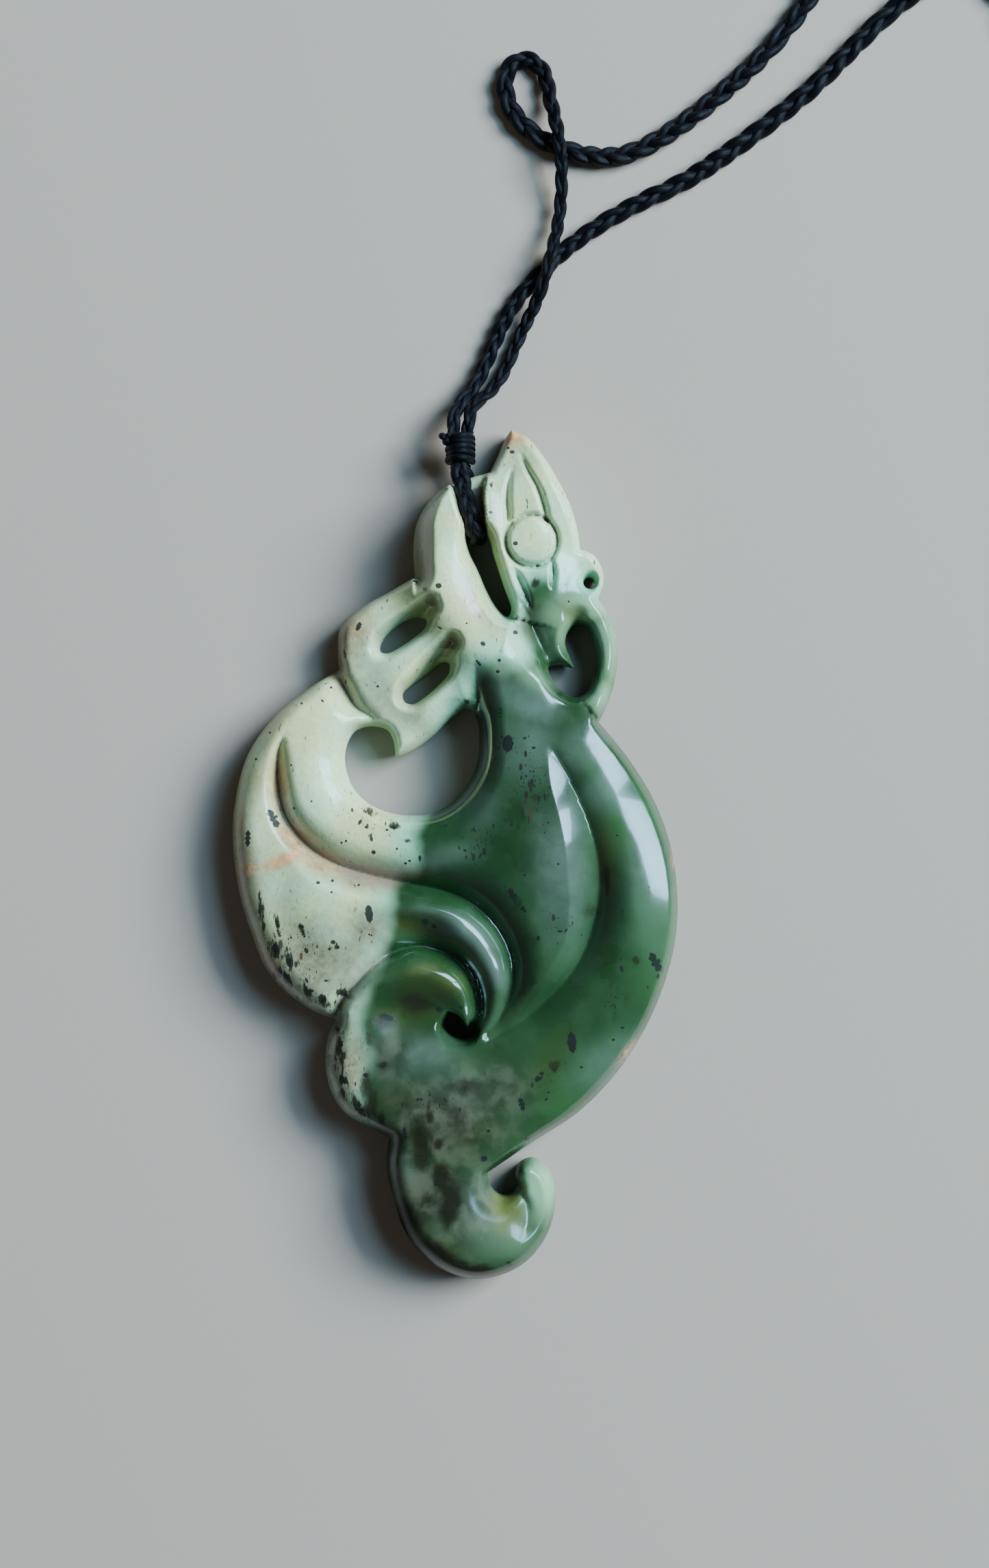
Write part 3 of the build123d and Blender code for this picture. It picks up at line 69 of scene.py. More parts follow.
# the plaits and the wraps; half widths and pitches are millimetres at shares of the cord's length
CORD_HALF_WIDTHS = ([0, 0.06, 0.085, 0.11, 0.92, 1.0], [0.78, 0.76, 1.00, 1.18, 1.12, 0.80])
CORD_PITCHES = ([0, 0.12, 0.2, 0.9, 1.0], [6.6, 7.4, 9.8, 9.0, 6.8])
BECKET_HALF_WIDTH = 1.04
BECKET_PITCH = 6.2
PLAIT_WANDER = 0.35      # how unevenly the strands cross, in radians
STRAND_SHARE = 0.50      # a strand's radius as a share of the plait's half width
STRAND_WAVER = 0.10
STRAND_SPREAD = 1.04
STRAND_LIFT = 0.42
STRAND_SQUASH = 0.86
TWINE_RADIUS = 0.40
WRAP_TURNS = 4.6
WRAP_LEAN = 0.30
KNOT_SIZE = 0.46
KNOT_TWINE_RADIUS = 0.36

# columns: across, up (percent of WIDTH and HEIGHT, from the lower left)
OUTLINE = {
    "head_back": [(62.6, 100), (66.3, 99.1), (69.8, 96.9), (72.8, 94.3), (75.5, 91.5), (77.5, 88.3),
                  (78.2, 85.9)],
    "ear": [(78.2, 85.9), (81.2, 85.2), (83.2, 83.5), (83.5, 82), (82.2, 80)],
    "beak_ring": [(82.2, 80), (84.5, 78.2), (86.5, 75), (86.3, 71.3), (84.5, 67.9), (82.3, 65.5)],
    "back": [(82.3, 65.5), (89.1, 61.1), (94.8, 56.2), (98.6, 50.6), (100, 44), (98.9, 38.3),
             (94.3, 31.2), (87.2, 24.9), (78.2, 19.9), (68.2, 16.4), (57.5, 12.7)],
    "notch": [(57.5, 12.7), (58, 11), (60.2, 9.9), (62.3, 10), (64, 11)],
    "tail": [(64, 11), (63.5, 12.3), (64.6, 13.7), (67.4, 14.2), (70.3, 13.3), (72.2, 11.3), (72.5, 8.3),
             (70, 4.5), (64.2, 1.4), (54.9, 0), (46.2, 1.4), (39.7, 4.8), (36.2, 9.3), (34.6, 13.9),
             (35.2, 16.7)],
    "lobe": [(35.2, 16.7), (30.5, 18), (25.2, 19.6), (22, 22.2), (20.8, 25.6), (21.4, 28.4),
             (22.9, 30.5)],
    "wing": [(22.9, 30.5), (18, 31.6), (11.8, 33.9), (7.4, 36.6), (4.2, 40.7), (1.5, 45.3), (0, 51.4),
             (0.3, 55.4), (3.1, 61.4), (8.9, 65.9), (16.2, 69.2), (23.7, 71.7)],
    "comb": [(23.7, 71.7), (23.5, 74.3), (24.3, 76.9), (29.2, 79.1), (35.1, 80.8), (40.9, 82.5)],
    "neck": [(40.9, 82.5), (40.5, 85.6), (41.2, 88.8), (43.8, 91.4), (46.5, 92.8)],
    "web": [(46.5, 92.8), (53.5, 94.3), (57.8, 94.9)],
    "head_front": [(57.8, 94.9), (59.5, 96.8), (61.2, 98.9), (62.6, 100)],
}
OPENINGS = {
    "cord_slot": [
        [(55.1, 88.3), (57.3, 87.3), (58.8, 84.8), (60.8, 81.6), (62.6, 78.6), (61.7, 77.9), (59.7, 78.7),
         (57.2, 80.8), (55.1, 83.3), (53.1, 85.5), (52.5, 87.2), (53.3, 88.1), (55.1, 88.3)]],
    "beak_opening": [
        [(76.6, 71.9), (75.7, 73.3), (74.8, 74.6), (75.2, 75.9), (76.9, 76.9), (79.1, 76.7), (80.9, 75.1),
         (81.7, 73.1), (81.2, 70.9), (79.5, 69), (76.9, 68.4), (73.8, 69.2), (71.5, 70.9), (71.1, 71.9),
         (73.1, 72.2), (75.1, 72), (76.6, 71.9)]],
    "comb_slot_high": [
        [(33.1, 74.5), (34.8, 75.9), (38.2, 77.3), (41.5, 77.9), (43.5, 77.5), (43.2, 76.6), (40.6, 75.4),
         (37.2, 74.2), (34.6, 73.6), (33.2, 73.8), (33.1, 74.5)]],
    "comb_slot_low": [
        [(38.2, 68.8), (40, 69.8), (43.7, 71.3), (46.9, 72.5), (48.6, 72.4), (48.6, 71.3), (46.2, 69.8),
         (43.1, 68.4), (40.5, 67.6), (38.6, 67.9), (38.2, 68.8)]],
    "great_opening": [
        [(37.7, 61.5), (40.2, 62.1), (44.8, 63.8), (49.4, 66.1), (52.5, 67.1), (54.8, 66), (55.4, 63.2),
         (54.5, 60), (50.2, 56.5), (45.5, 54.9), (39.7, 54.5), (34.3, 55), (30, 56.1), (26.6, 58.1),
         (25.1, 61.6), (27.2, 64.3), (30.8, 65), (34.6, 64.6), (36, 63.4), (36.5, 61.4)],
        [(36.5, 61.4), (37.7, 61.5)]],
    "curl_opening": [
        [(53.8, 30.3), (54.3, 29.3), (52.9, 28.4), (50.6, 28.3), (48.5, 28.9), (47.4, 30), (48.8, 31.3)],
        [(48.8, 31.3), (50.6, 30.8), (51.8, 30.1), (52.8, 29.6)],
        [(52.8, 29.6), (53.8, 30.3)]],
}
EAR_HOLE = (80.2, 81.9)
EYE = (67.1, 86.55)

# columns: across, up (percent), thick (percent of THICKNESS), rounded (percent of WIDTH)
STATIONS = [
    (62.6, 98.9, 44, 2), (67, 91, 72, 2.4), (69, 82, 66, 2), (80.6, 83, 48, 1.6), (78.5, 78.4, 59, 2.4),
    (84, 73, 50, 2.2), (81.6, 66.9, 86, 2.4), (73, 73.9, 56, 2.4), (48.5, 89.2, 92, 2.5), (51, 82, 98, 3),
    (57.7, 75.5, 100, 4), (67, 70.7, 96, 3), (30.8, 78, 58, 2.6), (40, 73.1, 64, 2), (46, 68.3, 68, 2),
    (38.5, 63, 54, 2.4), (27, 74, 54, 3.5), (6, 58, 70, 6.5), (5, 47, 72, 6.5), (12, 37.7, 76, 7),
    (20, 60, 74, 3), (34, 51.8, 78, 3), (21.5, 44.1, 86, 3), (43, 44.1, 90, 3), (57.7, 38.1, 90, 2),
    (59.2, 32.9, 82, 2), (46, 36.1, 78, 1.5), (52.3, 31.2, 68, 1.2), (26, 24.8, 72, 6.5), (34, 29.6, 76, 4),
    (61.5, 65.9, 94, 3), (70.8, 53.8, 98, 4), (64.6, 37.7, 90, 3), (86, 60.2, 94, 2.2), (93.8, 49, 90, 2.4),
    (89, 33.7, 86, 3.4), (75.4, 23.2, 82, 4.5), (47.7, 21.6, 84, 5), (40, 13.5, 78, 5), (52.3, 7.9, 82, 6),
    (55.4, 2.3, 70, 6), (68.5, 10.3, 54, 3), (57.5, 13.5, 80, 3),
]
STATION_REACH = 6.0

ROUND = 0                # the shape of a flank that rolls over like an oval; others are powers
ROUND_SHARE = 0.85       # how much of the oval's half width it takes

# left and right shapes; columns: across, up (percent), deep (percent of THICKNESS), left, right (flank
# widths, percent of WIDTH)
CUTS = {
    "wing_groove": (2, ROUND, [
        (11.8, 63.8, 2, 2, 1), (10.5, 61.8, 14, 4, 2), (10.2, 58, 26, 5, 3), (11.8, 54.4, 28, 6, 4),
        (16.8, 51.1, 29, 7, 5.5), (23.8, 48.8, 30, 7.5, 7), (30.8, 47.6, 31, 8, 7), (40, 46.6, 32, 9, 7),
        (47.7, 45.7, 32, 9.5, 7), (53.8, 44.3, 30, 9.5, 7.5), (58.8, 41.9, 28, 9, 8), (62, 38.9, 26, 8, 8),
        (62.9, 36.2, 24, 7, 6.5), (62.2, 33.7, 20, 6, 5), (59.7, 30.8, 14, 5, 4), (57.2, 29.3, 6, 4, 2)]),
    "curl_groove": (2, ROUND, [
        (22.9, 30.5, 34, 3, 3), (25.1, 33.1, 26, 3, 3), (28.2, 34.9, 18, 3, 3), (32, 37.1, 15, 4, 3.5),
        (36.2, 38.6, 24, 6, 4.5), (41.8, 39.3, 30, 8, 6), (47.7, 38.5, 32, 8, 6.5), (52.3, 36.7, 32, 7, 6.5),
        (54.8, 34.1, 30, 6, 5.5), (55.2, 31.9, 26, 5, 4), (54.2, 30.1, 20, 4, 2)]),
    "leaf_groove": (2, 1.05, [
        (72, 62.1, 2, 2, 2), (75.2, 59.1, 8, 5, 4.4), (78.6, 55.2, 12, 6.5, 5.8), (81.2, 51.2, 15, 7, 6.8),
        (82.3, 46.5, 19, 7.5, 7), (81.4, 42.9, 22, 8, 6), (78.6, 38.5, 22, 8, 5), (74.5, 35.3, 19, 8, 4.5),
        (68.9, 32.5, 15, 7, 4), (63.8, 30.3, 10, 6, 3.5), (58.5, 28.7, 5, 5, 2)]),
    "rim_slope": (1, 1.6, [
        (82.3, 65.5, 8, 1, 8), (86, 63.2, 16, 1, 10), (89.1, 61.1, 19, 1, 10), (94.8, 56.2, 20, 1, 10.5),
        (98.6, 50.6, 19, 1, 10.5), (100, 44, 15, 1, 11), (98.9, 38.3, 12, 1, 12), (94.3, 31.2, 10, 1, 11),
        (87.2, 24.9, 10, 1, 10), (78.2, 19.9, 8, 1, 9)]),
    "neck_slope": (1, 1.35, [
        (53.2, 88, 4, 1, 5), (54, 84, 16, 1, 10), (57.4, 80.2, 21, 1, 13), (60.4, 78.2, 21, 1, 13),
        (62.8, 77.8, 17, 1, 11)]),
    "wing_slope": (1.6, 1, [
        (33, 55.2, 4, 5, 1), (30, 56.1, 12, 8, 1), (27, 58, 17, 9, 1), (25.1, 61.4, 17, 9, 1),
        (26.6, 63.8, 10, 7, 1), (29.6, 65.2, 2, 4, 1)]),
    "opening_bevel": (1.4, 1.4, [
        (54.4, 73.5, 0, 4, 4), (54.8, 70.6, 8, 5, 4), (55.2, 66.8, 19, 5.8, 2), (55.5, 63.2, 24, 6, 1),
        (54.7, 60, 22, 6.2, 1), (50.4, 56.4, 14, 6, 1), (45.5, 54.7, 4, 4, 1)]),
    "neck_bevel": (1.25, 1, [
        (46.5, 92.8, 34, 2.6, 1), (43.8, 91.4, 40, 3.6, 1), (41.2, 88.8, 44, 4.6, 1),
        (40.5, 85.6, 44, 5.2, 1), (40.9, 82.7, 40, 5, 1)]),
    "jaw_groove": (2, 2, [
        (64.4, 79.6, 6, 3.5, 4), (66.6, 77.6, 15, 5.9, 6.2), (68.6, 75.2, 19, 6.8, 6.5),
        (71, 72.6, 17, 6.8, 6.2), (72.6, 70.4, 6, 4, 4)]),
    "comb_valley": (2, 2, [
        (22, 72.3, 26, 4, 5), (25.1, 69.5, 22, 4, 5), (27.7, 67.3, 16, 4, 5), (31.5, 66, 8, 3, 3)]),
    "comb_scoop_high": (1.3, 1.3, [
        (34.6, 75, 34, 3.6, 3.2), (39.6, 76.9, 38, 3.6, 3.2), (44.6, 78.9, 32, 3.2, 3)]),
    "comb_scoop_low": (1.3, 1.3, [
        (40, 69.2, 34, 3.6, 3.2), (44.6, 71.8, 38, 3.6, 3.2), (49.4, 74.6, 30, 3.2, 3)]),
    "comb_bevel": (1, 1, [
        (37.7, 61.4, 10, 3.5, 1), (44.8, 63.7, 16, 4.6, 1), (49.4, 66, 15, 4.6, 1),
        (52.4, 67.1, 6, 3.6, 1)]),
    "brow_front": (1.2, 1.2, [
        (62.8, 95.2, 1, 0.8, 0.5), (61.8, 93.2, 8, 1.3, 0.6), (61.5, 91.2, 11, 1.5, 0.6),
        (61.7, 89.5, 11, 1.5, 0.6), (61.8, 88.1, 4, 1, 0.6)]),
    "brow_back": (1.2, 1.2, [
        (64.8, 96.7, 2, 0.8, 0.8), (66.3, 94.8, 8, 1.1, 0.9), (68.3, 92.8, 10, 1.2, 0.9),
        (69.7, 90.7, 11, 1.2, 0.9), (70.5, 89, 11, 1.2, 0.9)]),
    "cheek_back": (1.2, 1.2, [
        (71.7, 84.4, 4, 0.8, 0.8), (72, 82.7, 10, 1.1, 1), (71.7, 81.2, 2, 0.8, 0.8)]),
    "cheek_front": (1.2, 1.2, [
        (63.2, 83.3, 3, 1, 0.5), (64.2, 82, 11, 1.6, 0.6), (65.5, 80.4, 11, 1.6, 0.6),
        (67.1, 78.5, 1, 0.8, 0.5)]),
    "hook_groove": (2, 2, [
        (63.8, 10.9, 6, 1.6, 4), (65.9, 9.3, 7, 2.4, 6), (66.2, 7.1, 3, 2.6, 4), (64.6, 5, 0, 2, 3)]),
}
# where the pale stone on its right meets the green stone; columns: across, up (percent)
COLOUR_LINE = [
    (87, 79.4), (82.6, 79.4), (78.5, 80.6), (73.8, 81.8), (69.2, 82.2), (65.8, 80.4), (65, 77.4),
    (66.6, 74.4), (66.4, 72.6), (64.4, 71.8), (61, 72.6), (56.8, 72.3), (54, 70.2), (52.4, 66.6), (46.4, 58),
    (43.8, 54.5), (41.2, 52.5), (41.5, 50.2), (40.5, 47.9), (37.4, 47), (36.2, 44.6), (34.9, 42),
    (33.8, 39.4), (32.8, 37), (31.4, 34.9), (29.4, 32.2), (30, 29.1), (30.6, 26.3), (29.7, 24.6),
    (28.8, 22.5), (29.6, 20.5), (30.6, 18.8), (30, 17.2), (20, 15)]

# soft patches; columns: across, up (percent), half_across, half_up (percent of WIDTH), turn (degrees),
# strength
TINTS = {
    # the pale stone's brown rind, and painted shade in its grooves and on its left-facing edges
    "tan": [
        (1.6, 50.5, 4.4, 17, 6, 0.9), (11.4, 49.2, 5.6, 2, 22, 1), (3.6, 39, 4, 11, 28, 0.8),
        (10, 58.5, 3.4, 10, 3, 1), (13.4, 52.2, 6, 3.2, -50, 1), (19.6, 49, 7, 2.8, -26, 1),
        (33, 46.8, 9, 2.4, -12, 0.2), (6, 58, 3, 9, -20, 0.5), (9, 37, 2.6, 5, 20, 0.6),
        (12, 65.5, 6, 3, 30, 0.3), (62.6, 99.2, 6, 4.4, 0, 1), (88.5, 26.8, 2, 5, -40, 0.4),
        (42, 84.5, 4, 9, 0, 0.5), (28, 77, 5.4, 6, 20, 0.8), (23.8, 73.2, 3.4, 8, 0, 0.9),
        (83, 83.2, 1.8, 2.4, 0, 0.5)],
    # a greyer tone of the pale stone, and painted shade on its slopes and edges that face away from the lamps
    "ash": [
        (29, 47.2, 10, 3.4, -12, 1), (13.4, 51.4, 5, 3, -50, 0.7), (63.4, 96.4, 6, 6, 0, 0.4),
        (17, 37, 22, 15, -12, 1), (5, 46, 6, 14, 8, 0.7), (26, 26, 7, 16, 5, 1), (33, 68.6, 12, 6, -30, 0.6),
        (25.6, 74, 6, 9, 0, 0.9), (45, 56.5, 8, 5, 20, 0.4), (34, 48.8, 10, 2.2, -14, 0.5),
        (57, 80, 3, 12, 10, 0.3), (57, 87.4, 3.4, 13, -8, 0.7), (43.4, 86, 3, 14, 0, 0.5),
        (30.5, 41.5, 7, 6, 0, 1), (17, 69.4, 7, 4, 40, 0.4)],
    "olive": [
        (40.5, 42.1, 9, 2.8, 0, 0.9), (43.8, 34.4, 8.5, 3.4, -10, 0.6), (40.5, 31.3, 8, 4.4, 0, 0.6),
        (62.6, 8.9, 3.2, 5.5, 10, 0.9), (76.8, 78, 2.6, 1.6, 0, 0.5), (40.5, 48, 5, 2, -10, 0.7),
        (83.4, 49, 2, 10, 4, 0.6), (71, 26.4, 3.4, 9, -25, 0.5), (57.7, 18, 5, 3, 0, 0.3),
        (36, 21.5, 4, 2.4, 0, 0.3), (46.2, 4.7, 7, 4.6, 0, 0.5)],
    "moss": [
        (61.6, 8.6, 3.6, 5.6, 10, 0.9), (48.5, 35.4, 6, 2.6, -12, 0.25), (76.8, 78.2, 3.6, 2.4, 0, 0.6),
        (84, 50, 2, 8, 4, 0.15), (43, 36.6, 5, 1.6, 10, 0.3)],
    # darker green: partly the stone's own dark teal in the body, partly painted shade in its basins and
    # valleys
    "deep": [
        (41.5, 32.8, 8, 4, -8, 1), (57, 64, 2.8, 11, -3, 0.9), (51, 54.2, 10, 3, 35, 0.8),
        (57.7, 47, 11, 6, -25, 0.6), (65.4, 37, 4.4, 11, 12, 0.7), (76, 43.6, 5, 9, 10, 0.35),
        (86.4, 44.1, 3.4, 14, 10, 0.45), (72, 32.5, 4, 8, -40, 0.6), (64, 60, 7, 10, 0, 0.3)],
    "mist": [
        (55, 40, 4.4, 8, 40, 0.7), (59.6, 34, 3.8, 9, -12, 0.15), (40.5, 26.4, 12, 6, 0, 0.6),
        (74, 47.5, 7, 18, 4, 0.7), (66, 62, 9, 9, 0, 0.6), (93, 46, 6, 16, 8, 0.5), (78, 62, 7, 7, -30, 0.5),
        (83, 57.4, 5, 6, 20, 0.8), (55.6, 55.4, 5, 6, 0, 0.5), (84, 26, 10, 6, 35, 0.5),
        (49.5, 42, 9, 3, -18, 0.9), (57.4, 37.6, 3.4, 8, 32, 0.9), (55.8, 8.7, 9, 8, 0, 0.7),
        (40.5, 12.2, 4, 10, 10, 0.5), (48.5, 49.8, 9, 3.2, 12, 0.5), (65.5, 68, 10, 5, -35, 0.7),
        (52, 22, 14, 7, 0, 0.35)],
    "aqua": [
        (67.4, 70.6, 6, 2.8, -38, 0.4), (60, 71.6, 5, 2.2, 0, 0.35), (69.2, 11, 5, 8, 0, 0.9),
        (73.4, 76.8, 5.4, 6, 0, 0.5), (80, 79, 8, 3.4, -15, 0.8), (84.6, 75, 4, 10, 3, 0.62),
        (82, 68.5, 3.5, 5, 0, 0.6), (61.5, 5.2, 10, 6, 0, 0.22), (48, 6.5, 4, 4, 0, 0.2)],
    "haze": [
        (69.6, 77.4, 3.6, 5, 20, 0.6), (62.4, 71.2, 3.6, 2.4, -20, 0.5), (44, 9, 17, 15, 0, 1),
        (47, 18.8, 17, 13, 0, 1), (58, 8, 9, 9, 0, 0.8), (56, 22, 14, 9, 20, 0.8), (36, 27, 5, 8, 0, 0.8),
        (34.4, 30.8, 4, 3, 0, 0.9), (65, 5.6, 4, 4, 0, 0.4)],
    # a lighter green on the right rim and the lower right: painted glow of the light that passes through the
    # stone there
    "bright": [
        (94.5, 42.5, 7, 16, 6, 0.9), (82.5, 57.5, 4.6, 13, 30, 0.6), (80, 25, 12, 7, 40, 0.6),
        (84, 70, 3.4, 6, 3, 0.6), (73, 22, 10, 8, 20, 0.7), (86, 52, 3.4, 11, 14, 0.8),
        (91, 55, 6, 12, 25, 0.5)],
    "rust": [
        (11.4, 49.4, 5.6, 1.5, 24, 0.9), (62.6, 99.4, 4, 2.4, 0, 0.9), (4, 48.4, 2.6, 1.4, 10, 0.7),
        (88.6, 27, 1.4, 3.6, -40, 0.5), (98.8, 49.6, 0.8, 2.4, 0, 0.5)],
    "cloud": [
        (42.6, 15.9, 2.6, 6, 5, 1), (46.4, 16.5, 1.5, 1.8, 0, 1), (44.6, 19.7, 1.2, 1.8, 0, 0.9),
        (44.3, 21, 0.5, 3, 0, 0.6), (51.3, 18.9, 2.2, 3, 0, 0.7), (49, 9.8, 3, 7.6, -8, 1),
        (47.2, 12.5, 3, 4.6, 0, 0.9), (39.5, 7.6, 2.8, 5.4, -10, 0.9), (36.9, 14.6, 1.2, 4.6, 0, 0.6),
        (49.2, 2.3, 5.6, 3.2, -25, 1), (45.4, 3.8, 5.4, 3.4, -30, 1), (55.9, 1.4, 3.4, 2.4, 0, 1),
        (31.5, 20.8, 2.2, 5, -10, 0.9), (33.8, 19.4, 0.9, 3, 0, 0.9), (34.1, 25.6, 1.2, 1.2, 0, 0.8),
        (30.3, 23.4, 1.8, 4, 0, 0.7), (56.4, 14.8, 1, 1, 0, 0.8), (30.9, 29, 1.6, 4, 0, 0.6),
        (34.3, 31.1, 1.7, 1.1, -20, 0.9), (33.9, 30.2, 3, 2.4, 0, 0.6), (83.6, 47.3, 1.2, 3.6, 4, 1),
        (38, 27.6, 5, 2, 0, 0.3), (40.4, 32.7, 5.8, 3.2, -8, 0.8), (52.3, 23.2, 5, 3, 0, 0.6),
        (80, 43.5, 2.4, 2, 0, 0.6), (90.2, 37.9, 1.3, 1.2, 0, 0.8), (72.1, 25.6, 1.6, 2, 0, 0.7),
        (73.4, 68.7, 1.2, 1, 0, 0.8), (67.8, 81.6, 1.3, 1.4, 0, 0.9), (63.2, 88, 1, 1.5, 0, 0.5),
        (58, 93, 0.8, 1.4, 0, 0.5), (52.6, 67.8, 1.2, 0.8, 0, 0.6), (66, 56.4, 4, 3, 0, 0.35),
        (24.1, 28, 1, 4.6, 5, 0.9), (22.3, 25.6, 0.9, 4, 12, 0.9), (24.9, 26.2, 0.7, 3.6, 6, 0.8),
        (24.9, 21.8, 1.4, 2.6, 10, 0.9), (28.6, 20.4, 1.1, 3.8, 20, 0.9), (25.1, 23.8, 1.4, 1.4, 0, 0.7),
        (7.1, 43.1, 1, 5, 5, 0.9), (10.8, 41.9, 0.8, 2.6, 14, 0.8), (10, 39, 1.3, 3, 16, 0.9),
        (13.3, 37.7, 1.1, 2.2, 10, 0.9), (16.2, 41.5, 1, 2, 14, 0.8), (10.5, 36.1, 1.6, 1.8, 0, 0.9),
        (12.6, 35.5, 1.1, 2.8, 22, 0.9), (17.4, 34, 1.4, 2.4, 20, 0.8), (20.8, 33, 1.6, 1.8, 20, 0.8),
        (15.4, 33.1, 2.2, 1.2, -30, 0.6), (23.6, 39.4, 1.4, 1.2, 0, 0.6), (25, 34, 1.4, 1.2, 0, 0.9),
        (31, 55, 2, 1, -25, 0.9), (36.6, 53.4, 2.2, 1, -12, 0.9), (31.4, 52, 0.9, 1.3, 30, 0.8),
        (39.6, 51.6, 1.2, 0.6, 0, 0.8), (26, 52.6, 1.2, 0.7, 0, 0.5)],
    "grain": [
        (13.8, 38.2, 9, 9, 0, 0.9), (18.5, 33.6, 9, 4, -25, 1), (33.8, 54.2, 12, 5, -10, 0.5),
        (66.5, 57, 8, 11, 0, 1), (55, 51, 6, 6, 0, 1), (85.8, 32.9, 4, 4, 0, 0.9), (61, 62, 5, 8, 0, 0.7),
        (73, 42, 6, 4, 0, 0.7), (24.6, 24.8, 4, 9, 5, 0.8), (46.2, 21.6, 16, 7, 0, 0.5),
        (70, 24, 5, 6, 0, 0.6), (64, 96, 4, 3, 0, 0.4)],
}

